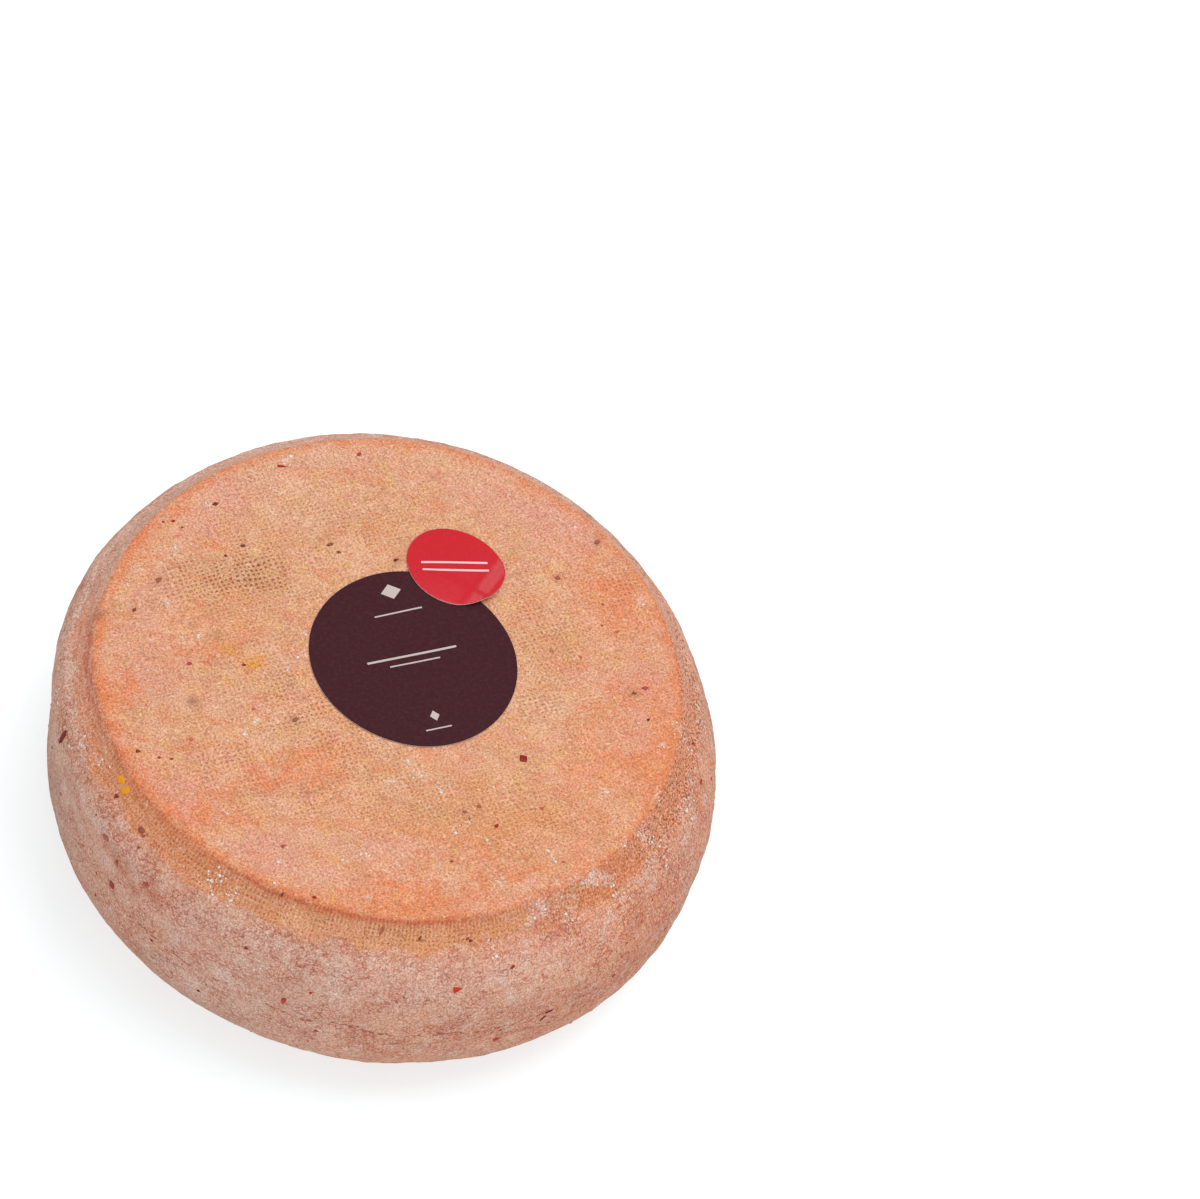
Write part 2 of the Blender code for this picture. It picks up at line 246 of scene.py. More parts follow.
# %% Where each point lies, in plain terms that the masks below use
def outward_of(points):
    """Unit normals of a grid of points: the cross product of its two directions of travel."""
    down = np.gradient(points, axis=0)
    along = np.roll(points, -1, axis=1) - np.roll(points, 1, axis=1)
    normal = np.cross(down, along)
    return normal / np.linalg.norm(normal, axis=-1, keepdims=True)


outward = outward_of(smooth_points)
x, y, z = (smooth_points[..., i] for i in range(3))
travel = np.repeat(stations[:, None], AROUND, axis=1)  # mm from the middle of the top
degrees = np.degrees(np.arctan2(y, x))
is_side = smooth_step(travel, RIDGE_AT - 2.5, RIDGE_AT + 2.0)
is_top = 1 - smooth_step(travel, RING_AT - 1.0, RING_AT + 1.5)
is_band = (1 - is_top) * (1 - is_side)

# %% [markdown]
# ## Fine relief
#
# The rind isn't smooth at the scale of a few millimetres: the sides are covered with low bumps, the cloth's
# hoop pressed a fine groove at the ring, and small crumbs have broken out of the side. All of this is moved
# along the surface's own normals, so it stands out of the side as well as out of the top. Under the label
# the top stays smooth, so that the paper can lie on it.

# %% Soft patches, used for the relief and for the colours
LABEL_RADIUS = 35.0 * MM
LABEL_CENTRE = (1.6 * MM, 4.9 * MM)


def soft_patches(across, up, patches):
    """Strength, 0 to 1, of soft ovals: middle (2), half length, half width, turn in degrees, strength."""
    left = np.ones_like(across)
    for mid_x, mid_y, long, wide, turn, strength in patches:
        c, s = math.cos(math.radians(turn)), math.sin(math.radians(turn))
        dx, dy = across - mid_x, up - mid_y
        far = ((dx * c + dy * s) / long) ** 2 + ((dy * c - dx * s) / wide) ** 2
        left = left * (1 - strength * np.exp(-far))
    return 1 - left


# The side's own coordinates: mm round the girth and mm up
round_mm = np.radians(degrees) * GIRTH_RADIUS / MM
up_mm = z / MM

# %% The relief itself
TORN_MM = (
    (-252, 62, 3.0, 6.0, -20, 0.9), (-257, 66, 4.0, 2.5, 0, 0.8), (-246, 57, 2.5, 4.0, 10, 0.8),
    (-256, 46, 3.0, 3.0, 30, 0.9), (-239, 63, 3.0, 3.0, 0, 0.7), (-97, 41, 2.2, 1.8, 0, 0.8),
    (-60, 62, 5.0, 3.0, 10, 0.5), (20, 52, 4.0, 2.5, 0, 0.6), (120, 48, 6.0, 3.0, 15, 0.6),
    (190, 60, 4.0, 3.0, -10, 0.6), (270, 40, 5.0, 3.0, 0, 0.6), (330, 58, 4.0, 2.5, 20, 0.5),
)  # where crumbs of the rind have broken out of the side
TORN_DEPTH, TORN_LENGTH = 0.45 * MM, 2.5 * MM
BUMP_HEIGHT, BUMP_LENGTH = 0.11 * MM, 9 * MM
GRIT_HEIGHT, GRIT_LENGTH = 0.06 * MM, 3.4 * MM
HOOP_DEPTH, HOOP_AT, HOOP_WIDTH = 0.22 * MM, RING_AT + 2.2, 1.1  # the last two in mm along the profile

near_label = np.hypot(x - LABEL_CENTRE[0], y - LABEL_CENTRE[1])
free = smooth_step(near_label, LABEL_RADIUS + 1 * MM, LABEL_RADIUS + 6 * MM) + (z < 0.5 * WHEEL_HEIGHT)
standing = np.clip(free, 0, 1) * smooth_step(z, 0.2 * MM, 6 * MM)
torn = is_side * soft_patches(round_mm, up_mm, TORN_MM)
relief = BUMP_HEIGHT * (0.45 + 0.55 * is_side) * swell(x, y, z, BUMP_LENGTH, seed=21, waves=30)
relief += GRIT_HEIGHT * (0.25 + 0.75 * is_side) * swell(x, y, z, GRIT_LENGTH, seed=22, waves=40)
relief -= HOOP_DEPTH * np.exp(-(((travel - HOOP_AT) / HOOP_WIDTH) ** 2))
relief -= TORN_DEPTH * torn * (0.6 + 0.4 * swell(x, y, z, TORN_LENGTH, seed=23, waves=30))
wheel_points = smooth_points + (relief * standing)[..., None] * outward
print("relief from", round(float(relief.min() / MM), 2), "to", round(float(relief.max() / MM), 2), "mm")

# %% [markdown]
# ## Where the rind is pink, tan, orange, bloomed or printed
#
# Ripening colours a rind in clouds, which no plain noise puts in the right places. Each cloud is a soft
# oval of a stated size, its edge pushed about by a few millimetres so that it looks grown and not drawn.
# Small stains keep their place. The mesh keeps the strengths, and the material turns them into colours.

# %% Clouds of colour, in mm: middle, half length and half width, turn in degrees, strength
TAN_MM = (
    (30, -53, 24, 9, 5, 0.9), (45, -54, 12, 5, 0, 0.6), (41, 22, 12, 14, 30, 0.6),
    (20, -31, 8, 4, 0, 0.4), (-50, 40, 20, 8, 32, 0.2), (40, -32, 10, 6, 20, 0.5),
    (-24, -32, 14, 9, -30, 0.25), (-58, 14, 20, 11, 30, 0.7), (2, -44, 28, 6, 0, 0.45),
    (-10, 58, 22, 7, 10, 0.35), (50, -42, 16, 8, 25, 0.8), (-62, -48, 16, 9, 20, 0.3),
    (-57, -13, 5, 4, 0, 0.7), (-20, 84, 8, 4, 0, 0.2),
)
PINK_MM = (
    (16, 80, 34, 8, -5, 0.7), (44, 72, 16, 10, -30, 0.6), (78, 14, 8, 18, 0, 0.7),
    (-78, -28, 14, 16, 20, 0.5), (-62, -74, 16, 7, -30, 0.8), (-24, -88, 14, 7, 0, 0.8),
    (8, -70, 30, 5, 3, 0.4), (-78, 42, 10, 14, -30, 0.6), (-50, 76, 14, 7, 40, 0.5),
    (-2, -86, 12, 5, 0, 0.5), (-66, 60, 14, 8, 40, 0.4), (62, 22, 12, 8, 20, 0.4),
    (-34, 80, 10, 6, 20, 0.5), (50, -76, 14, 5, 35, 0.4), (-86, -4, 7, 12, 0, 0.4),
    (24, 88, 20, 5, -12, 0.6), (-68, -23, 2.5, 2, 0, 0.9), (-22, -81, 3, 2.5, 30, 1.0),
    (-43.5, -33.5, 2.4, 2, 0, 0.8), (-35, 82, 3, 2, 0, 0.9), (14, 68, 5, 3, 20, 0.5),
    (30, 79, 8, 4, 0, 0.6),
)
ORANGE_MM = (
    (60, 56, 16, 9, -32, 0.8), (66, 42, 10, 9, 0, 0.5), (20, -84, 15, 5, 14, 0.95),
    (52, -62, 11, 3, 2, 0.9), (-94, 22, 2.5, 14, 4, 0.7), (-86, -42, 5, 9, 20, 0.8),
    (-72, -16, 8, 5, 10, 0.6), (-24, -50, 16, 4.5, 42, 0.7), (-44, -64, 9, 4, 30, 0.6),
    (4, 93, 44, 3.5, 0, 0.5), (70, -14, 13, 20, 0, 0.6), (75, -36, 6, 2.2, -42, 0.7),
    (76, -10, 9, 1.8, 12, 0.4), (-52, -5, 8, 5, 20, 0.6), (-50, -79, 10, 4, -28, 0.9),
    (87, -4, 5, 26, 3, 0.85), (36, 86, 8, 3, -25, 0.4), (10, -92, 16, 2.5, 8, 0.9),
    (-86, 33, 3, 5, 0, 0.6), (56, 24, 5, 4, 0, 0.6), (-69, -72, 6, 3, -45, 0.9),
    (48, -48, 22, 14, 10, 0.35), (10, -60, 40, 6, 0, 0.25), (-66, -2, 12, 6, 20, 0.3),
    (-34, -54, 7, 2.0, 30, 0.8), (-14, -47, 9, 2.0, 45, 0.7), (75, 18, 7, 7, 0, 0.45),
    (40, 40, 14, 3, 30, 0.4), (66, 8, 12, 3, 40, 0.5), (36, -80, 14, 5, 25, 0.6),
    (72, -48, 8, 6, -40, 0.45), (-44, -71, 10, 5, -20, 0.5), (90, 12, 3, 16, 4, 0.6),
    (-74, 26, 8, 2.5, 40, 0.6), (-60, -58, 12, 2.5, 30, 0.5), (20, -72, 10, 2, 20, 0.5),
)
BROWN_MM = (
    (-57, 19, 10, 6, 15, 0.9), (-48, -5, 6, 4, 20, 0.7), (-66, 15, 8, 4, 25, 0.5),
    (-84, -66, 5, 3, -50, 0.5),
)
PALE_MM = (
    (-62, 60, 9, 8, 0, 0.8), (-50, 76, 9, 5, 30, 0.7), (0, 89, 26, 4, 0, 0.7), (46, 0, 7, 7, 0, 0.9),
    (-46, 50, 14, 7, 30, 0.7), (-40, -12, 8, 7, 0, 0.6), (-54, -30, 7, 5, 0, 0.6),
    (44, 42, 8, 5, 30, 0.5), (53, 6, 6, 8, 0, 0.4), (74, -24.5, 5, 2.5, -10, 0.7),
    (-40, 80, 8, 3, 30, 0.5), (-4, 88, 10, 4, 0, 0.3),
)
STAINS_MM = (
    (-63.5, -37.5, 1.9, 1.8, 0, 1.0), (-62, -9, 1.5, 2.4, 0, 0.6), (41, 55, 1.6, 2.0, 0, 0.5),
    (51, 75, 1.5, 2.6, 20, 0.8), (-34.5, -19, 0.9, 2.4, 20, 0.6), (75, 18, 2.6, 1.6, 0, 0.6),
    (-13, 41, 2.6, 1.6, 50, 0.7), (-86, 6, 2.2, 1.6, 60, 0.7), (-100.8, -13.7, 2.2, 2.0, 0, 0.8),
    (32, -48, 5, 0.9, 8, 0.35), (12, -51.5, 12, 0.8, 5, 0.3), (-36, -65, 8, 0.9, 30, 0.35),
    (-14, -54, 9, 0.9, 44, 0.3), (-30, -32.5, 1.8, 1.4, 0, 0.5),
)
YELLOW_MM = (
    (-48.2, -16.5, 3.4, 2.0, 15, 1.0), (-56.7, -13.2, 4, 2.6, 0, 0.45), (-47, -13, 1.6, 1.2, 0, 0.8),
    (-75, -62.5, 3.2, 0.7, 5, 0.8), (-55, -26, 3, 1.6, 0, 0.3),
)
BLOOM_TOP_MM = (
    (-50, 78, 10, 5, 40, 0.30), (76, -57, 2.2, 6.0, -24, 0.9), (62, -74, 4, 7, -36, 0.55),
    (50, -85, 7, 3, 30, 0.35), (46, -4, 6, 4, 0, 0.2), (-82, 24, 5, 3, 30, 0.25),
    (58, -53, 6, 3, 20, 0.25), (-73, -12, 3, 2, 0, 0.4), (-54, -22, 6, 2.5, -20, 0.25),
    (-52, -31, 6, 4, 0, 0.2), (-22, -94, 3, 4, 0, 0.4), (5, -77, 7, 1.6, 30, 0.3),
    (-76, 33, 8, 2, 60, 0.25), (-80, -30, 10, 14, 20, 0.18), (70, -66, 10, 3, 45, 0.5),
    (88.4, -34.5, 2, 5, -20, 0.9), (0, 90, 60, 5, 0, 0.15), (78, 20, 8, 24, 0, 0.15),
    (2, -80, 9, 1.2, 40, 0.35),
)
PRINT_MM = (
    (-58, 18, 20, 11, 25, 1.0), (-30, -26, 20, 12, -30, 0.9), (45, -3, 8, 8, 0, 0.7),
    (-45, 46, 26, 14, 30, 0.4), (-78, 6, 14, 10, 20, 0.6), (-12, -34, 16, 8, 0, 0.6),
    (12, -46, 26, 10, 0, 0.45), (-46, -56, 18, 11, 0, 0.55), (-62, 56, 12, 9, 40, 0.4),
    (-8, 54, 24, 8, 0, 0.4), (40, 30, 12, 22, 20, 0.65), (62, 58, 14, 8, -40, 0.6),
    (50, -44, 24, 12, 10, 0.4), (-20, -62, 24, 8, 10, 0.4),
)
MOULD_TOP = (  # x, y and spread in mm, and how many crumbs
    (-57, -27, 0.9, 5), (-68, -11, 1.2, 3), (-73, -14, 2.6, 4), (-77, -37, 1.8, 3), (-81, -2, 1.8, 3),
    (-44, -43, 1.6, 4), (-42, -38, 1.2, 3), (-48, -48, 1.2, 2), (-37, -14, 1.4, 4), (-34, -6, 2.6, 4),
    (-42, 2, 1.2, 2), (-35, 2, 1.2, 2), (-68, 4, 1.4, 3), (-84, 20, 2.0, 3), (-78, 42, 2.0, 4),
    (-13.5, -35, 1.2, 3), (-41, -87, 1.4, 4), (-43, -74, 1.4, 2), (-22, -88, 1.4, 3), (-21, -94, 1.8, 4),
    (-2, -80, 1.4, 2), (9, -36, 2.2, 5), (13, -39, 2.2, 4), (21, -42, 2.8, 6), (5, -45, 2.8, 5),
    (30, -55, 1.8, 4), (33, -51.5, 1.2, 3), (41, -57, 1.2, 3), (4, -75, 2.2, 4), (8, -91, 1.8, 2),
    (15, -76, 1.8, 2), (43, 79, 1.2, 4), (88, 1, 1.2, 3), (76, -57, 2.4, 12), (63, -73, 2.8, 10),
    (83.5, -42, 1.8, 6), (88, -35, 1.8, 6), (62, -55, 2.6, 4), (74, -24, 2.6, 3), (60, -78, 2.8, 6),
    (48, -71, 2.8, 4), (90, -20, 2.2, 5), (92, 10, 2.6, 6), (70, 56, 2.6, 3), (-59, 70, 3.0, 4),
)

x_mm, y_mm = x / MM, y / MM
push = [3.0 * swell(x, y, z, 16 * MM, seed, waves=14) for seed in (31, 32)]
push = [p + 1.4 * swell(x, y, z, 5 * MM, seed, waves=20) for p, seed in zip(push, (33, 34))]
clouds = {
    name: soft_patches(x_mm + push[0], y_mm + push[1], patches)
    for name, patches in (
        ("pink", PINK_MM), ("tan", TAN_MM), ("pale", PALE_MM), ("orange", ORANGE_MM), ("brown", BROWN_MM),
        ("bloom", BLOOM_TOP_MM), ("print", PRINT_MM),
    )
}
stains = soft_patches(x_mm + 0.12 * push[0], y_mm + 0.12 * push[1], STAINS_MM)
yellow = is_top * soft_patches(x_mm + 0.1 * push[0], y_mm + 0.1 * push[1], YELLOW_MM)
mould_spots = [(a, b, 0.5 + 0.8 * spread, 0.4 + 0.5 * spread, 37 * a, 0.8) for a, b, spread, _ in MOULD_TOP]
mouldy = (z > 0.7 * WHEEL_HEIGHT) * soft_patches(x_mm, y_mm, mould_spots)
print("clouds on the top:", ", ".join(clouds))


# %% The ring, the band and the sides
# On the side, in mm round the girth and up: thick bloom, a net of red cracks, painted shade that greys the
# foot, level cracks
DUSTY_MM = (
    (-178, 67, 62, 7, 0, 0.9), (-165, 60, 26, 6, -8, 0.7), (-252, 69, 40, 5, 0, 0.8),
    (-135, 64, 22, 8, 10, 0.5), (-205, 34, 34, 14, 0, 0.5), (-262, 55, 34, 8, 0, 0.6),
    (-205, 52, 16, 6, 0, 0.4), (-110, 60, 30, 8, 10, 0.45), (-320, 68, 40, 6, 0, 0.35),
    (-20, 68, 40, 8, 0, 0.15),
)
RED_NET_MM = (
    (-232, 62, 14, 7, -10, 1.0), (-259, 70, 6, 6, 0, 1.0), (-150, 64, 12, 4, 0, 0.6),
    (-85, 72, 10, 5, 0, 0.6), (-215, 50, 12, 4, 10, 0.7), (-190, 66, 20, 5, 0, 0.4),
    (-60, 60, 14, 8, 0, 0.5), (90, 60, 60, 8, 0, 0.5),
)
# Painted shade: patches low on the side, mostly on the left, greyer and darker where the foot is in shade
FOOT_SHADE_MM = (
    (-300, 34, 50, 22, 0, 0.8), (-245, 20, 60, 12, 0, 0.7), (-120, 14, 90, 8, 0, 0.4),
)
CRACKED_MM = (
    (-225, 44, 24, 8, 0, 0.8), (-165, 42, 60, 8, 0, 0.8), (-100, 42, 26, 8, 0, 0.9),
    (-50, 48, 20, 8, 0, 0.8),
)


def around_ring(*stretches):
    """Strength along the ring from (middle, half width, strength) stretches, in degrees, with soft ends."""
    strength = np.zeros_like(degrees)
    for middle, half, most in stretches:
        away = np.abs((degrees - middle + 180) % 360 - 180)
        strength = np.maximum(strength, most * (1 - smooth_step(away, 0.6 * half, 1.4 * half)))
    return strength


def soft_line(away, width):
    """1 where away is 0, fading on both sides over about the width."""
    return np.exp(-((away / width) ** 2))


def waxing(mean, swing, length, seed):
    """A strength from 0 to 1 that comes and goes over about the length."""
    return np.clip(mean + swing * swell(x, y, z, length, seed, waves=14), 0, 1)


# Lines that follow the ring, placed in mm out from it: the orange edge, the glow inside it, ribs, and red
uneven = swell(x, y, z, 14 * MM, seed=41, waves=14)
at_ring = travel - RING_AT - 0.5 * uneven
ring_width = 1.5 + 1.6 * around_ring((-143, 20, 1.0), (-108, 18, 0.5), (100, 60, 0.3))
ring_line = soft_line(at_ring - 1.2 + 0.4 * ring_width, ring_width) * waxing(0.85, 0.5, 7 * MM, seed=43)
ring_line *= around_ring((-95, 62, 1.0), (-165, 30, 0.9), (0, 50, 1.0), (150, 50, 1.0), (90, 50, 0.9))
inner_glow = soft_line(at_ring + 1.6 + 0.8 * uneven, 1.7) * waxing(0.6, 0.6, 9 * MM, seed=42)
inner_glow *= around_ring((150, 60, 1.0), (75, 60, 0.5), (-135, 30, 0.7), (5, 35, 0.9), (-70, 40, 0.4))
ribs = soft_line(at_ring - 3.2, 2.4)
ribs *= around_ring((-134, 16, 0.35), (-66, 24, 0.6), (-98, 22, 0.45), (-40, 18, 0.4), (180, 180, 0.2))
ring_red = soft_line(at_ring - 1.8, 1.0) * around_ring((-89, 26, 0.9), (-140, 20, 0.3))
ring_red += soft_line(at_ring - 3.4, 1.3) * around_ring((-163, 12, 0.9))
ring_red *= waxing(0.8, 0.6, 5 * MM, seed=44)

# What lies on the band and the side, by stretches round the wheel
cloth_on_band = around_ring((-97, 45, 0.9), (-44, 34, 0.8), (-150, 30, 0.4), (180, 180, 0.3))
tan_on_band = around_ring((-103, 34, 0.35), (-72, 26, 0.35), (-34, 32, 0.65), (90, 90, 0.2))
orange_on_band = around_ring(
    (-135, 28, 0.6), (-163, 20, 0.7), (-88, 30, 0.2), (-60, 20, 0.4), (-8, 40, 0.95),
)
bloom_on_band = around_ring(
    (-172, 26, 0.30), (-134, 10, 0.08), (-98, 30, 0.12), (-60, 20, 0.14), (-12, 36, 0.08), (100, 90, 0.42),
    (160, 30, 0.5),
)

not_orange = (1 - is_top * clouds["orange"]) * (1 - ring_line) * (1 - inner_glow)
orange = 1 - not_orange * (1 - is_band * orange_on_band)
side_edge = smooth_step(travel + 1.6 * uneven, RIDGE_AT - 7.0, RIDGE_AT + 3.5)
bloom = is_band * bloom_on_band + (1 - is_side) * clouds["bloom"] + side_edge
bloom = np.clip(bloom, 0, 1) * (1 - 0.6 * torn)
rusty = around_ring((-4, 52, 1.0), (-62, 22, 0.5), (-128, 14, 0.4), (120, 40, 0.5))
speckled = around_ring((6, 34, 1.0), (-34, 16, 0.5), (120, 60, 0.3), (-165, 30, 0.2))
speckled *= is_band + 0.45 * is_side
# The foot's patches are painted shade, greyer and darker low on the side
dusty, painted_foot_shade, red_net = (
    is_side * soft_patches(round_mm + push[0], up_mm + push[1], patches)
    for patches in (DUSTY_MM, FOOT_SHADE_MM, RED_NET_MM)
)
dusty += is_band * around_ring((155, 45, 0.8))
cracked = is_side * np.clip(0.2 + soft_patches(round_mm, up_mm, CRACKED_MM), 0, 1)
streaky = around_ring((-170, 34, 1.0), (130, 50, 0.8), (-120, 20, 0.4), (60, 40, 0.4), (-8, 40, 0.3))
streaky *= is_band
crumby = 0.05 + 0.25 * mouldy + side_edge * (0.06 + around_ring((-10, 60, 0.03)))
crumby += is_band * around_ring((-4, 44, 0.06), (-172, 30, 0.08), (90, 90, 0.06), (-100, 40, 0.02))
print("share of the rind with bloom:", round(float(bloom.mean()), 2))

# %% [markdown]
# ## From points to a mesh
#
# Every surface here is a set of rings of points. One function joins the rings with quads, closes the seam
# by joining the last point of a ring to its first, and closes both ends with a fan to one point. Its
# winding gives outward normals as long as the rings run counterclockwise seen from the first end point.
# It also writes a UV map of turns round and distance along, which the cloth's ribs will follow.

# %% A closed surface and its attributes
def closed_surface(name, rings, first, last, along):
    """A closed mesh. rings[i, j] is point j of ring i; first and last close its two ends."""
    count, around = rings.shape[:2]
    index = np.arange(count * around).reshape(count, around)
    beside = np.roll(index, -1, axis=1)
    quads = np.stack((index[:-1], index[1:], beside[1:], beside[:-1]), axis=-1).reshape(-1, 4)
    first_fan = np.stack((np.full(around, count * around), index[0], beside[0]), axis=-1)
    last_fan = np.stack((index[-1], np.full(around, count * around + 1), beside[-1]), axis=-1)
    points = np.concatenate((rings.reshape(-1, 3), [first], [last]))
    mesh = bpy.data.meshes.new(name)
    mesh.from_pydata(points.tolist(), [], quads.tolist() + first_fan.tolist() + last_fan.tolist())

    turn = np.arange(around) / around
    beyond = turn + 1 / around
    here, below = (np.repeat(row[:, None], around, axis=1) for row in (along[:-1], along[1:]))
    turn_grid, beyond_grid = (np.broadcast_to(t, here.shape) for t in (turn, beyond))
    quad_uv = np.stack((turn_grid, here, turn_grid, below, beyond_grid, below, beyond_grid, here), axis=-1)
    ends = []
    for v in (along[0] + 0 * turn, along[-1] + 0 * turn):
        ends.append(np.stack((turn, v, turn, v, beyond, v), axis=-1))
    layer = mesh.uv_layers.new(name="round_and_along")
    layer.data.foreach_set("uv", np.concatenate([part.ravel() for part in (quad_uv, *ends)]))
    mesh.shade_smooth()
    return mesh


def keep_values(mesh, name, values):
    """Keeps one number for each point of the rings as an attribute that a material can read."""
    flat = np.concatenate((values.ravel(), [values[0].mean(), values[-1].mean()]))
    mesh.attributes.new(name, "FLOAT", "POINT").data.foreach_set("value", flat.astype(np.float32))


def finished(name, mesh, material, slot, *nodes):
    """Puts a mesh in the scene as a piece of the object: it rides the one body and may stand for solids."""
    obj = bpy.data.objects.new(name, mesh)
    bpy.context.scene.collection.objects.link(obj)
    mesh.materials.append(material)
    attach(obj, "root")
    if nodes:
        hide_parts(*nodes)
    mesh.calc_loop_triangles()
    print(name, len(mesh.loop_triangles), "triangles")
    return obj


middle = np.array([float(v) for v in made_uneven(0.0, 0.0, WHEEL_HEIGHT + CROWN)])
wheel_mesh = closed_surface("washed_rind", wheel_points, middle, (0.0, 0.0, 0.0), stations)
MASKS = {
    "pink": is_top * clouds["pink"] + is_band * around_ring((-168, 30, 0.4), (90, 100, 0.3)),
    "tan": is_top * clouds["tan"] + is_band * tan_on_band,
    "brown": is_top * clouds["brown"],
    "pale": is_top * clouds["pale"],
    "printed": is_top * np.clip(0.36 + 0.8 * clouds["print"], 0, 1),
    "cloth_on_band": is_band * cloth_on_band,
    "stained": (z > 0.8 * WHEEL_HEIGHT) * stains,
    "orange": orange, "yellow": yellow, "bloom": bloom, "ribs": ribs, "ring_red": ring_red, "torn": torn,
    "rusty": rusty, "crumby": crumby, "speckled": speckled, "streaky": streaky, "dusty": dusty,
    # the foot's patches are painted shade
    "painted_foot_shade": painted_foot_shade, "red_net": red_net, "cracked": cracked,
}
for mask_name, mask in MASKS.items():
    keep_values(wheel_mesh, mask_name, mask)

# %% [markdown]
# ## Helpers for materials
#
# All materials are node trees built by one helper, which adds a node, sets its settings, and sets or links
# its inputs. Colours are written as sRGB hex, as a colour picker shows them, and turned linear once.

# %% Colours, and the node helper
TOP_LIGHT = 1.42  # how brightly a level face is lit, so that base colours can be written as they look
SIDE_LIGHT = 1.18


def linear(hex_colour, light=1.0):
    """An sRGB hex colour as linear values, divided by how strongly the light falls on it."""
    values = [int(hex_colour[i : i + 2], 16) / 255 for i in (0, 2, 4)]
    return [(v / 12.92 if v <= 0.04045 else ((v + 0.055) / 1.055) ** 2.4) / light for v in values] + [1.0]


def add(tree, kind, inputs, out=None, **settings):
    """Adds a node and gives back one of its outputs. Inputs go by name or number: a value or an output."""
    node = tree.nodes.new("ShaderNode" + kind)
    for name, value in settings.items():
        setattr(node, name, value)
    for key, value in inputs.items():
        named = [s for s in node.inputs if s.enabled and s.name == key]
        socket = node.inputs[key] if isinstance(key, int) else named[0]
        if isinstance(value, bpy.types.NodeSocket):
            tree.links.new(value, socket)
        else:
            socket.default_value = value
    return node.outputs[out] if out else next(s for s in node.outputs if s.enabled)


def new_material(name):
    """An empty material, its tree, and its shader."""
    material = bpy.data.materials.new(name)
    material.use_nodes = True
    return material, material.node_tree, material.node_tree.nodes["Principled BSDF"]


def laid_over(tree, colour, layers, way="MIX"):
    """Colours one over the other: each layer is a mask and a colour."""
    for mask, over in layers:
        inputs = {"Factor": mask, "A": colour, "B": over}
        colour = add(tree, "Mix", inputs, data_type="RGBA", blend_type=way)
    return colour


def noise(tree, place, size, detail=2.0, roughness=0.55, stretch=(1, 1, 1), seed=0.0):
    """Noise with cells of that size. Its values crowd round a half, mostly from 0.35 to 0.65."""
    moved = add(tree, "Mapping", {"Vector": place, "Scale": stretch, "Location": (seed, seed, seed)})
    inputs = {"Vector": moved, "Scale": 1 / size, "Detail": detail, "Roughness": roughness}
    return add(tree, "TexNoise", inputs)


def between(tree, value, low, high, to_low=0.0, to_high=1.0):
    """The value spread from low..high to 0..1, held at the ends, with soft shoulders."""
    span = {"Value": value, "From Min": low, "From Max": high, "To Min": to_low, "To Max": to_high}
    return add(tree, "MapRange", span, interpolation_type="SMOOTHSTEP")


def blotches(tree, place, size, detail, roughness, low, high, seed=0.0):
    """Patches with soft edges: noise with cells of that size in mm, spread from low..high to 0..1."""
    return between(tree, noise(tree, place, size * MM, detail, roughness, seed=seed), low, high)


def product(tree, *values):
    result = values[0]
    for value in values[1:]:
        result = add(tree, "Math", {0: result, 1: value}, operation="MULTIPLY")
    return result


def washes(tree, light, *rows):
    """Layers for laid_over from rows of a hex colour, how strong it is, and the masks that it keeps to."""
    return [(product(tree, *masks, most), linear(colour, light)) for colour, most, *masks in rows]


def mixed(tree, share, light, first, second):
    """A colour between two hex colours, by a share that varies from place to place."""
    ends = {"Factor": share, "A": linear(first, light), "B": linear(second, light)}
    return add(tree, "Mix", ends, data_type="RGBA")


# %% [markdown]
# ## The rind
#
# Washed rind is a thin, slightly waxy skin. The cloth pressed a lattice of small pits into the top, where
# brown smear collects, and fine ribs into the band. The pitches are the real ones, about 1.7 and 1.3 mm.
# The pits darken the colour and also drive the bump, so light and colour agree. Round the side a dusty pale
# bloom covers the skin. A net of rusty cracks shows through it, with specks and two broken level cracks.
# The finest grain is really under half a millimetre, and is drawn at 0.65 mm to show from arm's length.

# %% The print of the cloth
PITCHES = (1.76 * MM, 1.65 * MM)
THREAD_TURN = math.radians(37)
RIBS_AROUND = 472
RIB_ROW_MM = 1.6


def pits(tree, turns):
    """A pit where both waves are high: turns holds the two phases in x and y, in radians."""
    waves = []
    for axis in ("X", "Y"):
        phase = add(tree, "SeparateXYZ", {"Vector": turns}, out=axis)
        wave = add(tree, "Math", {0: phase}, operation="SINE")
        waves.append(between(tree, wave, -0.35, 0.75))
    return product(tree, *waves), waves[0]


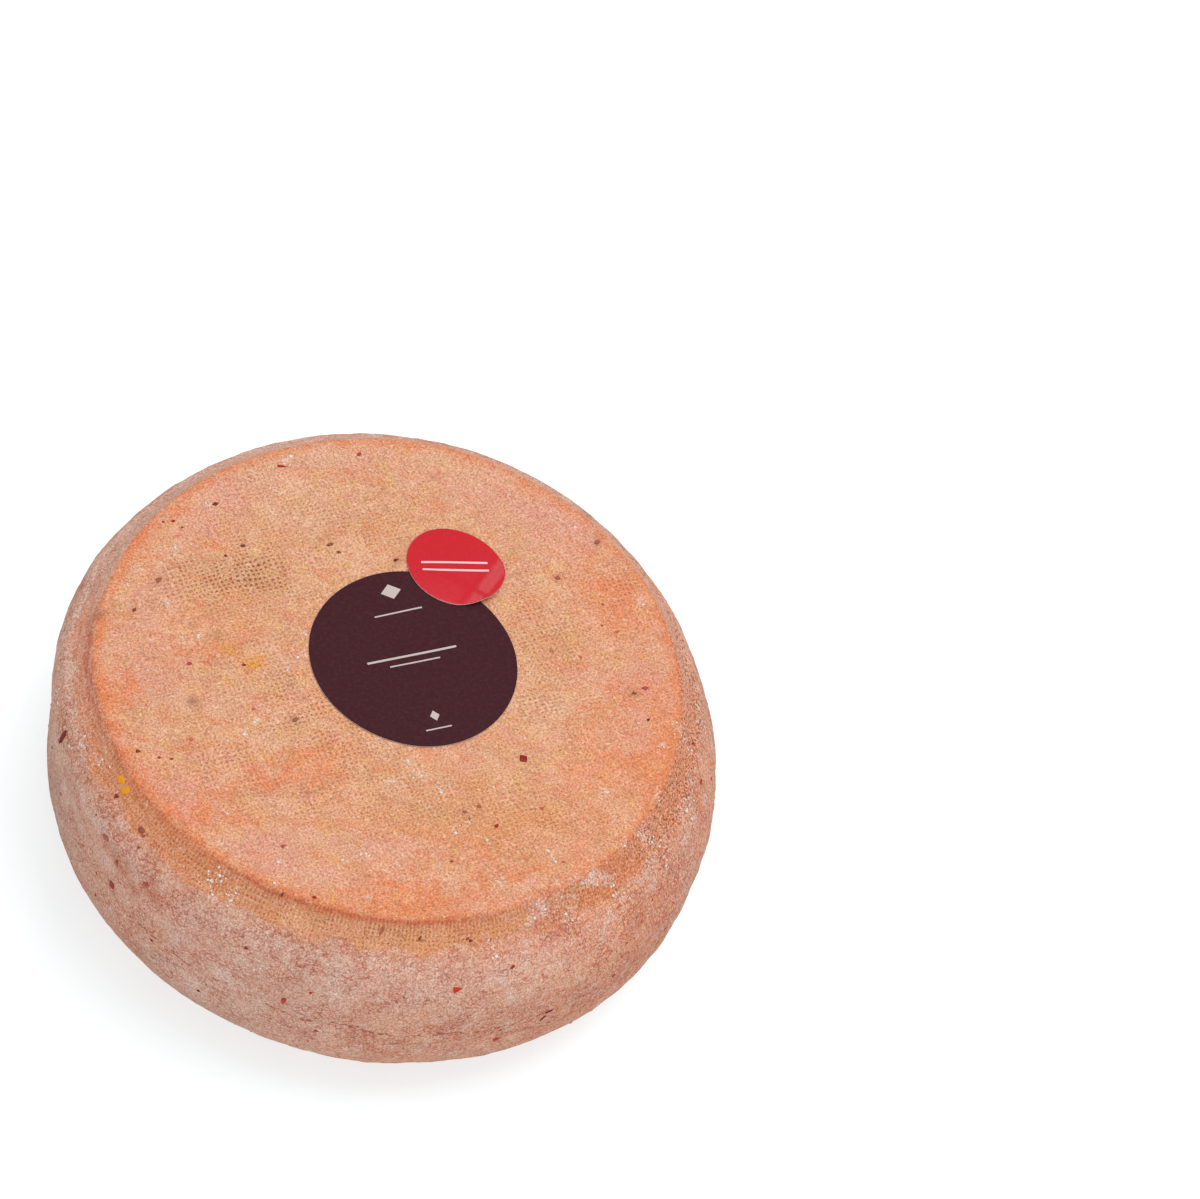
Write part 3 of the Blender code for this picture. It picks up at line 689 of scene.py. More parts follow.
def cloth_print(tree, place, mask):
    """How far the cloth pressed in, from 0 to 1: pits on the top, a finer grid and ribs on the band."""
    slow = add(tree, "TexNoise", {"Vector": place, "Scale": 1 / (9 * MM), "Detail": 1.0}, out="Color")
    quick = add(tree, "TexNoise", {"Vector": place, "Scale": 1 / (3 * MM), "Detail": 1.0}, out="Color")
    wobbled = add(tree, "VectorMath", {0: slow, 1: (3.0 * MM,) * 3, 2: place}, operation="MULTIPLY_ADD")
    wobbled = add(tree, "VectorMath", {0: quick, 1: (0.8 * MM,) * 3, 2: wobbled}, operation="MULTIPLY_ADD")
    sizes = (PITCHES[0] / TURN, PITCHES[1] / TURN, 1.0)
    turned = {"Vector": wobbled, "Rotation": (0, 0, THREAD_TURN), "Scale": sizes}
    top_pits, _ = pits(tree, add(tree, "Mapping", turned, vector_type="TEXTURE"))
    cloth = add(tree, "UVMap", {}, uv_map="round_and_along")
    each_way = (RIBS_AROUND * TURN, TURN / RIB_ROW_MM, 0.0)
    turns = add(tree, "VectorMath", {0: cloth, 1: each_way}, operation="MULTIPLY")
    turns = add(tree, "VectorMath", {0: slow, 1: (8.0, 9.0, 0.0), 2: turns}, operation="MULTIPLY_ADD")
    turns = add(tree, "VectorMath", {0: quick, 1: (2.0, 2.0, 0.0), 2: turns}, operation="MULTIPLY_ADD")
    band_pits, band_ribs = pits(tree, turns)
    patchy = between(tree, noise(tree, place, 7 * MM, 4.0, 0.75), 0.38, 0.56, 0.2, 1.0)
    parts = (
        product(tree, top_pits, mask["printed"], patchy),
        product(tree, band_pits, mask["cloth_on_band"], patchy),
        product(tree, band_ribs, mask["ribs"], 0.8),
    )
    pressed = 0.0
    for part in parts:
        pressed = add(tree, "Math", {0: pressed, 1: part}, operation="MAXIMUM")
    return pressed


# %% The colours of the rind
FOLDS_TURN = math.radians(38)  # the way that most folds of the cloth ran
CRACK_HEIGHTS = (42 * MM, 35 * MM)
CRACK_WANDER = 16 * MM  # times noise, which leaves about 2 mm up and down
CRACK_JITTER = 4 * MM  # the same at a finer scale, which leaves about half a millimetre
NET_SIZE = 3.4 * MM  # from crack to crack
NET_BEND = 2.6 * MM
NET_SQUASH = 1.7  # its meshes are wider than they are high


def top_colours(tree, place, mask, pressed):
    """Peach skin with its clouds, mottled at a few millimetres, darker where the cloth pressed."""
    mottle = blotches(tree, place, 9, 5.0, 0.65, 0.38, 0.62)
    folded = add(tree, "Mapping", {"Vector": place, "Rotation": (0, 0, -FOLDS_TURN), "Scale": (0.35, 1, 1)})
    warm = blotches(tree, folded, 6, 6.0, 0.72, 0.49, 0.62, seed=3.0)
    pinkish = blotches(tree, folded, 8, 6.0, 0.72, 0.51, 0.62, seed=13.0)
    yellowish = blotches(tree, place, 7, 6.0, 0.75, 0.50, 0.60, seed=8.0)
    dots = blotches(tree, place, 2.6, 3.0, 0.7, 0.58, 0.64, seed=14.0)
    pale_dots = blotches(tree, place, 1.9, 3.0, 0.75, 0.57, 0.64, seed=16.0)
    pores = blotches(tree, place, 0.9, 2.0, 0.7, 0.60, 0.66, seed=27.0)
    in_pits = between(tree, pressed, 0.1, 0.6, 0.15, 1.0)
    return laid_over(tree, mixed(tree, mottle, TOP_LIGHT, "DDA37D", "EAB592"), washes(
        tree, TOP_LIGHT,
        ("E48A58", 0.50, warm),
        ("E69E8A", 0.42, pinkish),
        ("E8B674", 0.50, yellowish),
        ("DAA26D", 0.75, mask["tan"]),
        ("E3A090", 0.75, mask["pink"]),
        ("E8824A", 0.80, mask["orange"]),
        ("D9784C", 0.45, dots),
        ("E8BC9A", 0.70, mask["pale"]),
        ("F0D0B6", 0.45, pale_dots),
        ("A8603C", 0.55, pores),
        ("E8A02C", 0.95, mask["yellow"]),
        ("A06A4A", 0.80, mask["stained"]),
        ("A66038", 0.80, pressed),
        ("844A28", 0.85, mask["brown"], in_pits),
    ))


def level_cracks(tree, place):
    """Thin cracks that run round the side at two heights, wandering and broken."""
    up = add(tree, "SeparateXYZ", {"Vector": place}, out="Z")
    jitter = noise(tree, place, 3 * MM, 3.0, 0.7, seed=23.0)
    up = add(tree, "Math", {0: jitter, 1: CRACK_JITTER, 2: up}, operation="MULTIPLY_ADD")
    nearest = 1.0
    for height, seed in zip(CRACK_HEIGHTS, (21.0, 22.0)):
        bend = noise(tree, place, 30 * MM, 5.0, 0.55, seed=seed)
        level = add(tree, "Math", {0: bend, 1: CRACK_WANDER, 2: up}, operation="MULTIPLY_ADD")
        middle = height + 0.5 * (CRACK_WANDER + CRACK_JITTER)
        away = add(tree, "Math", {0: level, 1: middle}, operation="SUBTRACT")
        away = add(tree, "Math", {0: away}, operation="ABSOLUTE")
        nearest = add(tree, "Math", {0: nearest, 1: away}, operation="MINIMUM")
    broken = blotches(tree, place, 5, 3.0, 0.7, 0.46, 0.52, seed=9.0)
    return product(tree, between(tree, nearest, 0.15 * MM, 0.60 * MM, 1.0, 0.0), broken)


def crack_net(tree, place):
    """The dry skin's net of hair cracks: the borders between cells, bent by noise."""
    bent = add(tree, "TexNoise", {"Vector": place, "Scale": 1 / (2.5 * MM), "Detail": 3.0}, out="Color")
    bent = add(tree, "VectorMath", {0: bent, 1: (NET_BEND,) * 3, 2: place}, operation="MULTIPLY_ADD")
    bent = add(tree, "Mapping", {"Vector": bent, "Scale": (1, 1, NET_SQUASH)})
    cells = {"Vector": bent, "Scale": 1 / NET_SIZE}
    border = add(tree, "TexVoronoi", cells, out="Distance", feature="DISTANCE_TO_EDGE")
    return between(tree, border, 0.01, 0.08, 1.0, 0.0)


def side_colours(tree, place, mask):
    """(colour, cracks): pinkish grey bloom over rust, with dust, a net of cracks and specks in crowds, and
    painted shade that greys the foot.
    """
    blotch = blotches(tree, place, 24, 4.0, 0.65, 0.40, 0.62)
    dust = blotches(tree, place, 1.5, 4.0, 0.8, 0.46, 0.55, seed=2.0)
    rosy = blotches(tree, place, 12, 6.0, 0.75, 0.50, 0.58, seed=7.0)
    chalky = blotches(tree, place, 9, 6.0, 0.78, 0.53, 0.60, seed=25.0)
    tanned = blotches(tree, place, 13, 6.0, 0.75, 0.51, 0.58, seed=26.0)
    speck = blotches(tree, place, 1.1, 3.0, 0.75, 0.51, 0.60, seed=5.0)
    crowd = between(tree, noise(tree, place, 10 * MM, 6.0, 0.75, seed=4.0), 0.45, 0.57, 0.10, 1.0)
    net = crack_net(tree, place)
    crack = product(tree, level_cracks(tree, place), mask["cracked"])
    skin = mixed(tree, blotch, SIDE_LIGHT, "BC8870", "CDA18C")
    rust = mixed(tree, blotch, SIDE_LIGHT, "CC7A52", "DC966E")
    colour = laid_over(tree, skin, [(mask["rusty"], rust)] + washes(
        tree, SIDE_LIGHT,
        ("C88266", 0.42, rosy),
        ("D0A07A", 0.42, tanned),
        ("DDB8A8", 0.62, mask["dusty"]),
        ("D8C6BC", 0.42, chalky),
        ("DCBCAE", 0.42, dust),
        # painted shade: greyer and darker low on the side, by the foot
        ("A08C7E", 0.45, mask["painted_foot_shade"]),
        ("AC4E36", 0.66, net, crowd),
        ("B04630", 0.75, net, mask["red_net"]),
        ("C46A50", 0.35, crowd, mask["red_net"]),
        ("A44E38", 0.55, speck, crowd),
        ("984432", 0.80, crack),
        ("A05338", 0.60, mask["torn"]),
    ))
    return colour, crack


def grained(tree, place, colour, amount):
    """Fine grain: where the amount is full, from a third or more darker and warmer to a quarter paler."""
    grain = blotches(tree, place, 0.65, 2.0, 0.8, 0.34, 0.66, seed=11.0)
    ends = {"Factor": grain, "A": (0.70, 0.59, 0.52, 1), "B": (1.25, 1.26, 1.28, 1)}
    tint = add(tree, "Mix", ends, data_type="RGBA")
    return laid_over(tree, colour, ((amount, tint),), way="MULTIPLY")


STREAK_WIDTH_MM = 1.3
STREAK_LENGTH = 9 * MM


def ring_streaks(tree, place):
    """Streaks that run round the wheel: noise that changes slowly round it and fast along its profile."""
    along = add(tree, "SeparateXYZ", {"Vector": add(tree, "UVMap", {}, uv_map="round_and_along")}, out="Y")
    across = add(tree, "Math", {0: along, 1: 1 / STREAK_WIDTH_MM}, operation="MULTIPLY")
    across = add(tree, "CombineXYZ", {"Z": across})
    slow = (1 / STREAK_LENGTH, 1 / STREAK_LENGTH, 0.0)
    stretched = add(tree, "VectorMath", {0: place, 1: slow, 2: across}, operation="MULTIPLY_ADD")
    return noise(tree, stretched, 1.0, 4.0, 0.7)


def under_bloom(tree, place, mask, top, side):
    """(colour, cover): the top's colour, and the side's where bloom covers it with a ragged edge."""
    ragged = noise(tree, place, 1.8 * MM, 4.0, 0.8, seed=6.0)
    edge = add(tree, "Math", {0: mask["bloom"], 1: ragged}, operation="ADD")
    covered = between(tree, edge, 0.78, 1.12)
    colour = add(tree, "Mix", {"Factor": covered, "A": top, "B": side}, data_type="RGBA")
    streaks = ring_streaks(tree, place)
    specks = noise(tree, place, 0.85 * MM, 2.0, 0.7, seed=19.0)
    colour = laid_over(tree, colour, washes(
        tree, TOP_LIGHT,
        ("C25636", 0.80, mask["ring_red"]),
        ("E4C6B6", 0.30, between(tree, streaks, 0.50, 0.58), mask["streaky"]),
        ("B8704C", 0.40, between(tree, streaks, 0.45, 0.40), mask["streaky"]),
        ("5E3826", 0.80, between(tree, specks, 0.54, 0.59), mask["speckled"]),
        ("EADAD2", 0.42, between(tree, specks, 0.43, 0.38), mask["speckled"]),
    ))
    return grained(tree, place, colour, between(tree, covered, 0.0, 1.0, 0.90, 1.0)), covered


def make_rind():
    """Cheese rind: satin on the worn top, dry and matt where the bloom is."""
    material, tree, shader = new_material("washed_rind")
    place = add(tree, "TexCoord", {}, out="Object")
    mask = {name: add(tree, "Attribute", {}, out="Fac", attribute_name=name) for name in MASKS}
    pressed = cloth_print(tree, place, mask)
    top = top_colours(tree, place, mask, pressed)
    side, crack = side_colours(tree, place, mask)
    colour, covered = under_bloom(tree, place, mask, top, side)
    crumbs = noise(tree, place, 1.0 * MM, 2.0, 0.7, seed=15.0)
    crumby = add(tree, "Math", {0: mask["crumby"], 1: crumbs}, operation="ADD")
    crumbs = between(tree, crumby, 0.70, 0.86)
    colour = laid_over(tree, colour, washes(tree, TOP_LIGHT, ("EEDCD0", 0.75, crumbs)))
    tree.links.new(colour, shader.inputs["Base Color"])
    sheen = add(tree, "Mix", {"Factor": covered, "A": 0.50, "B": 0.85}, data_type="FLOAT")
    tree.links.new(sheen, shader.inputs["Roughness"])
    shader.inputs["Specular IOR Level"].default_value = 0.25

    grit = noise(tree, place, 1.4 * MM, 3.0, 0.65)
    depths = ((pressed, -0.12), (crack, -0.15), (grit, 0.22), (crumbs, 0.08))
    height = 0.0
    for part, deep in depths:
        height = add(tree, "Math", {0: part, 1: deep, 2: height}, operation="MULTIPLY_ADD")
    bump = add(tree, "Bump", {"Height": height, "Distance": MM, "Strength": 0.8})
    tree.links.new(bump, shader.inputs["Normal"])
    return material


finished("washed_rind", wheel_mesh, make_rind(), "rind", "cheese_wheel")

# %% [markdown]
# ## Chilli flakes
#
# The cheese is made with chilli, and cut flakes of it show in the rind: red squares of flesh, brown bits of
# skin, a few magenta ones where the colour has bled, and a yellow pair. Each flake is a low, many-sided
# chip sunk into the rind. A ray finds the rind under its spot, so every chip sits on it and tilts with it.

# %% Finding a spot on the rind
RAY_FROM = 0.2  # metres, well outside the wheel
wheel_tree = BVHTree.FromPolygons(
    [v.co.copy() for v in wheel_mesh.vertices], [tuple(p.vertices) for p in wheel_mesh.polygons]
)


def spot_on_top(px, py):
    """(point, normal) of the rind under a place on the top, given in mm."""
    place, normal, _, _ = wheel_tree.ray_cast(Vector((px * MM, py * MM, RAY_FROM)), Vector((0, 0, -1)))
    return place, normal


def spot_on_side(at_degrees, up):
    """(point, normal) of the rind on the side, by angle in degrees and height in mm."""
    turn = math.radians(at_degrees)
    outside = Vector((RAY_FROM * math.cos(turn), RAY_FROM * math.sin(turn), up * MM))
    place, normal, _, _ = wheel_tree.ray_cast(outside, Vector((-math.cos(turn), -math.sin(turn), 0)))
    return place, normal


# %% A chip's own shape
CHIP_RINGS = ((0.55, 1.0), (0.92, 0.75), (1.0, 0.2), (0.8, -1.2))  # shares of its reach and of its height
CHIP_CORNERS = 12


def chip_points(length, width, stands, rng):
    """Rings of a low lens with an uneven outline: out along the top, then in under the rind."""
    turn = np.arange(CHIP_CORNERS) * TURN / CHIP_CORNERS
    sides = 4 if length < 1.15 * width else int(rng.choice((3, 4, 6)))
    outline = math.cos(math.pi / sides) / np.cos(turn % (TURN / sides) - math.pi / sides)
    outline = (0.2 + 0.8 * outline) * (1 + rng.uniform(-0.08, 0.08, CHIP_CORNERS))
    lean = rng.uniform(-0.35, 0.35)
    rings = []
    for reach, height in CHIP_RINGS:
        px = 0.5 * length * reach * outline * np.cos(turn)
        py = 0.5 * width * reach * outline * np.sin(turn)
        slope = lean * px / length if height > 0 else 0
        rings.append(np.stack((px, py, stands * (height + 2 * slope) + 0 * px), axis=-1))
    return np.array(rings)


def set_on(rings, place, normal, turn):
    """The rings moved on to the rind, facing along its normal and turned about it from X, or from level."""
    level = Vector((1, 0, 0)) if normal.z > 0.8 else Vector((0, 0, 1)).cross(normal)
    length = (level - level.dot(normal) * normal).normalized()
    face = Matrix((length, normal.cross(length), normal)).transposed() @ Matrix.Rotation(turn, 3, "Z")
    return rings @ np.array(face).T + np.array(place)


def many_chips(name, chips, colours, material, slot):
    """One mesh of many chips, each with its own colour. The chips share the rings' pattern of faces."""
    points, faces, painted = [], [], []
    index = np.arange(len(CHIP_RINGS) * CHIP_CORNERS).reshape(len(CHIP_RINGS), CHIP_CORNERS)
    beside = np.roll(index, -1, axis=1)
    pattern = np.stack((index[:-1], index[1:], beside[1:], beside[:-1]), axis=-1).reshape(-1, 4).tolist()
    pattern += [index[0].tolist(), index[-1][::-1].tolist()]
    for number, (rings, colour) in enumerate(zip(chips, colours)):
        start = number * index.size
        points.append(rings.reshape(-1, 3))
        faces += [[start + i for i in face] for face in pattern]
        painted.append(np.tile(colour, (index.size, 1)))
    mesh = bpy.data.meshes.new(name)
    mesh.from_pydata(np.concatenate(points).tolist(), [], faces)
    tint = mesh.attributes.new("tint", "FLOAT_COLOR", "POINT")
    tint.data.foreach_set("color", np.concatenate(painted).ravel().astype(np.float32))
    mesh.shade_smooth()
    return finished(name, mesh, material, slot)


# %% Where the flakes are
RED, DARK_RED, BROWN, MAGENTA = "A81C14", "761A12", "8A4A30", "B83C44"
PINK_RED, GREY_PURPLE, DEEP_RED = "CC6450", "A06050", "641414"
YELLOW_FLAKE, SALMON, RUST = "F6A414", "CF6A4A", "A8553A"
TOP_FLAKES = (  # x, y, length, width in mm, turn in degrees, colour
    (45, -21.3, 3.9, 3.7, 55, "8E1414"), (42, -50, 2.0, 1.4, 40, RED),
    (35, -44.5, 2.0, 1.4, 0, GREY_PURPLE), (55, -38, 2.0, 1.4, 70, MAGENTA),
    (31, -48, 1.8, 1.2, 20, GREY_PURPLE), (33, -50, 1.4, 1.1, 80, GREY_PURPLE),
    (31, -68, 1.6, 1.1, 30, BROWN), (66, -56, 1.6, 1.0, 10, PINK_RED), (-59, 67, 4.8, 1.3, 15, RED),
    (-35, 82, 2.2, 1.6, 60, MAGENTA), (-76, 43, 2.8, 1.7, 40, DARK_RED),
    (-90.5, 29.5, 1.6, 1.1, 0, MAGENTA), (-87.5, 31, 1.6, 1.2, 50, RED),
    (-84, 29.5, 1.4, 1.0, 20, DARK_RED), (-63, 29.5, 2.2, 1.4, 30, DARK_RED),
    (-86, 6, 2.8, 1.7, 60, RUST), (-35.5, 40.5, 3.4, 1.5, 40, BROWN), (-32, 38.5, 2.2, 1.3, 0, BROWN),
    (-13, 42, 3.0, 1.4, 50, DARK_RED), (-90.4, -8.6, 2.2, 1.5, 70, DARK_RED),
    (-68, -23, 2.4, 1.7, 30, MAGENTA), (-51, -17.5, 2.0, 1.4, 0, DARK_RED),
    (-43.8, -33.5, 2.0, 1.4, 30, PINK_RED), (-29.8, -32.7, 2.6, 1.8, 60, GREY_PURPLE),
    (-22, -81, 2.8, 1.6, 50, MAGENTA), (-8, -96.5, 2.0, 1.3, 0, RED), (-18, -98, 2.6, 1.0, 80, DARK_RED),
    (-75, -62, 2.6, 1.8, 20, DARK_RED), (-68, -62, 1.6, 1.2, 0, RED), (-64, -61, 1.6, 1.0, 40, RED),
    (-67.4, 23.4, 1.6, 1.3, 0, DARK_RED), (-66, -90, 1.8, 1.3, 30, BROWN), (58, 50, 1.4, 1.0, 0, RED),
    (59.5, 41.5, 1.4, 1.0, 50, RED), (65, 41, 1.8, 1.2, 20, PINK_RED),
    (78.5, 21.5, 2.8, 1.8, 30, MAGENTA), (82, 9, 2.0, 1.4, 60, DARK_RED), (51, 75, 3.2, 1.6, 50, RUST),
    (75.3, 18, 2.4, 1.6, 0, BROWN), (41, 55, 2.4, 1.8, 20, RUST), (55, 26, 1.8, 1.4, 0, SALMON),
    (45, 24.5, 1.6, 1.3, 30, SALMON), (-60, -51.5, 1.8, 1.4, 0, SALMON), (-47, 23, 1.6, 1.2, 60, SALMON),
)
SIDE_FLAKES = (  # degrees round, mm up, length, width, turn, colour
    (-151.4, 72.0, 7.0, 2.6, 100, DEEP_RED), (-129, 60.6, 7.4, 3.2, 82, "B4562C"),
    (-132.3, 67.4, 4.0, 3.2, 20, "9E5A3E"), (-122.2, 65.4, 4.2, 2.4, 70, "A84436"),
    (-129.6, 46.0, 4.6, 3.6, 60, "96201A"), (-94.4, 46.8, 4.0, 2.0, 85, "B42820"),
    (-88, 35.5, 2.0, 1.4, 0, RED), (-66.8, 62.7, 4.8, 3.2, 10, "C41C14"),
    (-57.5, 32.3, 4.2, 3.0, 20, "BC2A1E"), (-49.0, 41.2, 3.6, 1.6, 30, DARK_RED),
    (-49.6, 38.2, 3.2, 1.6, 50, DARK_RED), (-118.9, 39.5, 1.8, 1.4, 0, RED),
    (-108.7, 29, 1.8, 1.2, 60, DARK_RED), (-56.9, 67.0, 2.2, 1.5, 30, RED),
    (-81.1, 78.6, 4.6, 1.4, 70, "B0603F"), (-73.8, 76.5, 3.6, 0.8, 0, "B86848"),
    (-64.4, 75.4, 1.9, 1.5, 0, DARK_RED), (-128, 77.6, 3.2, 2.4, 0, "945238"),
    (-137.3, 81.7, 5.4, 3.4, 10, YELLOW_FLAKE), (-135.2, 81.0, 4.8, 3.2, 50, YELLOW_FLAKE),
    (-65, 76, 1.6, 1.0, 30, "A84A34"), (-74, 77, 1.9, 1.0, 60, "8E3C2A"), (0, 69, 2.4, 1.6, 0, RED),
    (6, 74, 2.0, 1.4, 50, RED), (-36, 44, 2.2, 1.4, 0, DARK_RED), (-135.6, 78.4, 2.6, 2.0, 30, "8A181C"),
    (-127, 77.0, 2.2, 1.5, 20, RUST),
)
FLAKE_SCALE = 0.88  # of the sizes above, which take in the stain round each flake
SMALL_FLAKES = 70  # seeded specks of chilli, all round the side
FLAKE_STANDS = 0.30 * MM
FLAKE_SEED = 11


def make_flake_material():
    """Soaked chilli skin: a little glossier than the dry rind, with dust in spots of about a millimetre."""
    material, tree, shader = new_material("chilli")
    place = add(tree, "TexCoord", {}, out="Object")
    tint = add(tree, "Attribute", {}, out="Color", attribute_name="tint")
    dust = blotches(tree, place, 1.2, 3.0, 0.7, 0.46, 0.62)
    colour = laid_over(tree, tint, washes(tree, TOP_LIGHT, ("CF957A", 0.15, dust)))
    tree.links.new(colour, shader.inputs["Base Color"])
    shader.inputs["Roughness"].default_value = 0.6
    shader.inputs["Specular IOR Level"].default_value = 0.2
    return material


def lay_flakes():
    """Every listed flake on its spot, then small ones scattered round the side."""
    rng = np.random.default_rng(FLAKE_SEED)
    chips, colours = [], []
    spots = [(spot_on_top(a, b), *rest) for a, b, *rest in TOP_FLAKES]
    spots += [(spot_on_side(a, b), *rest) for a, b, *rest in SIDE_FLAKES]
    for _ in range(SMALL_FLAKES):
        spot = spot_on_side(rng.uniform(-180, 180), rng.uniform(12, 72))
        length = rng.uniform(0.9, 1.9)
        kind = str(rng.choice((RED, DARK_RED, RUST, BROWN, PINK_RED)))
        spots.append((spot, length, length * rng.uniform(0.5, 0.9), rng.uniform(0, 180), kind))
    for (place, normal), length, width, turn, kind in spots:
        long, wide = FLAKE_SCALE * length * MM, FLAKE_SCALE * width * MM
        rings = chip_points(long, wide, FLAKE_STANDS * min(1.0, length / 2), rng)
        chips.append(set_on(rings, place, normal, math.radians(turn)))
        colours.append(linear(kind, TOP_LIGHT if normal.z > 0.5 else SIDE_LIGHT))
    return many_chips("chilli_flakes", chips, colours, make_flake_material(), "rind")


lay_flakes()

# %% [markdown]
# ## White mould
#
# Crumbs of white mould stand on the rind in small groups, and in thick clusters on the band where the cloth
# kept it moist. Each crumb is a low dome, 0.4 to 1.4 mm across. They use the same chip shape, only rounder.

# %% Groups of crumbs
MOULD_SIDE = (  # degrees, mm up, spread, how many
    (-112, 78.5, 3.4, 40), (-109, 77, 3.0, 20), (-148, 76, 4.0, 6), (-160, 72, 5.0, 8),
    (-142, 79, 3.0, 12), (-100, 60, 5.0, 10), (-20, 74, 5.0, 26), (-8, 70, 6.0, 26), (-32, 72, 5.0, 20),
    (4, 76, 4.0, 16), (-60, 74, 5.0, 14), (12, 70, 5.0, 14), (-172, 66, 6.0, 16), (-45, 74, 4.0, 14),
    (40, 72, 6.0, 14), (80, 72, 6.0, 14), (130, 70, 6.0, 14),
)
MOULD_WHITE = ("F1E6DE", "E8D8CC", "F6F0EC")
MOULD_SEED = 17
CRUMB_SMALLEST, CRUMB_RANGE = 0.42, 0.95  # mm


def make_mould_material():
    """Dry white mould: matt, with nothing else to it at this size."""
    material, tree, shader = new_material("white_mould")
    tint = add(tree, "Attribute", {}, out="Color", attribute_name="tint")
    tree.links.new(tint, shader.inputs["Base Color"])
    shader.inputs["Roughness"].default_value = 0.95
    return material


def lay_mould():
    """Every group's crumbs, scattered round its spot by a seeded rule."""
    rng = np.random.default_rng(MOULD_SEED)
    chips, colours = [], []
    groups = [(spot_on_top, *group) for group in MOULD_TOP]
    groups += [(spot_on_side, *group) for group in MOULD_SIDE]
    for find, a, b, spread, crowd in groups:
        degrees_per_mm = math.degrees(MM / GIRTH_RADIUS) if find is spot_on_side else 1.0
        for _ in range(crowd):
            da, db = rng.normal(0, 0.55 * spread, 2)
            place, normal = find(a + da * degrees_per_mm, b + db)
            size = (CRUMB_SMALLEST + CRUMB_RANGE * rng.uniform(0, 1) ** 2) * MM
            rings = chip_points(size, size * rng.uniform(0.5, 1.0), 0.18 * size, rng)
            chips.append(set_on(rings, place, normal, rng.uniform(0, TURN)))
            colours.append(linear(str(rng.choice(MOULD_WHITE)), TOP_LIGHT))
    return many_chips("white_mould", chips, colours, make_mould_material(), "rind")


lay_mould()

# %% [markdown]
# ## Paper
#
# Both papers are closed sheets 0.3 mm thick, laid over the top's own height. The red one lies on the rind,
# climbs over the brown one's edge, and has come unstuck along one side, where it curls up. Its cut edge is
# white. The print is generic: thin pale rules and small lozenges in place of any lettering.

# %% A sheet of paper
STICKER_RADIUS = 16.3 * MM
STICKER_CENTRE = (6.7 * MM, 46.4 * MM)
STICKER_HARMONICS = ((2, 0.60 * MM, -0.18 * MM), (3, 0.12 * MM, 0.12 * MM))
PAPER_THICKNESS = 0.32 * MM
PAPER_GAP = 0.10 * MM
STICKER_STEP = 0.42 * MM
CURL_HEIGHT = 1.8 * MM
CURL_DIRECTION = (0.95, -0.31)
CURL_START = 7.0 * MM
EDGE_BEVEL = 0.06 * MM
LABEL_GRID = (36, 168)  # rings and points round
STICKER_GRID = (34, 140)


def label_height(px, py):
    return top_height(px, py) + PAPER_GAP


def sticker_height(px, py):
    """Flat on the rind, up over the label's edge, and lifting where it has come unstuck."""
    from_label = np.hypot(px - LABEL_CENTRE[0], py - LABEL_CENTRE[1])
    climb = STICKER_STEP * (1 - smooth_step(from_label, LABEL_RADIUS + 0.3 * MM, LABEL_RADIUS + 3.5 * MM))
    across = (px - STICKER_CENTRE[0]) * CURL_DIRECTION[0] + (py - STICKER_CENTRE[1]) * CURL_DIRECTION[1]
    curl = CURL_HEIGHT * smooth_step(across, CURL_START, STICKER_RADIUS) ** 1.5
    return top_height(px, py) + PAPER_GAP + climb + curl


def paper_sheet(name, centre, radius, harmonics, height_at, rings, around):
    """A closed sheet: out over its face, round its cut edge, and back in underneath."""
    turn = np.arange(around) * TURN / around
    edge = radius + harmonic_sum(turn, harmonics) if harmonics else radius + 0 * turn
    share = np.linspace(0, 1, rings + 1)[1:]
    far_in = edge.mean() * (1 - share[:-1])
    inset = np.concatenate((far_in, [EDGE_BEVEL, 0, 0, EDGE_BEVEL], far_in[::-1]))
    cut = [PAPER_THICKNESS - EDGE_BEVEL, EDGE_BEVEL]
    lift = np.concatenate((np.full(rings, PAPER_THICKNESS), cut, np.zeros(rings)))
    reach = edge * (1 - inset / edge.mean())[:, None]
    px, py = centre[0] + reach * np.cos(turn), centre[1] + reach * np.sin(turn)
    points = np.stack((px, py, height_at(px, py) + lift[:, None]), axis=-1)
    low = float(height_at(*centre))
    ends = ((*centre, low + PAPER_THICKNESS), (*centre, low))
    mesh = closed_surface(name, points, *ends, np.linspace(0, 1, len(inset)))
    is_face = (lift >= PAPER_THICKNESS - 1e-9)[:, None] + 0.0 * reach
    keep_values(mesh, "face", is_face)
    return mesh


# %% The print and the paper's materials
LABEL_TURN = math.radians(34)
STICKER_TURN = math.radians(21)
LABEL_INK = (  # along, across, half length and half width in mm, and True for a lozenge
    (2.2, 27.0, 3.6, 3.0, True), (1.7, 18.6, 8.5, 0.28, False), (0, 1.4, 16.0, 0.40, False),
    (0, -1.6, 9.0, 0.28, False), (-1.5, -23.3, 1.7, 2.0, True), (-1.9, -28.2, 4.6, 0.25, False),
)
PAPER_CORE = "DDD0CC"
STICKER_INK = ((0.0, 1.7, 11.5, 0.40, False), (0.0, -1.5, 11.5, 0.40, False))


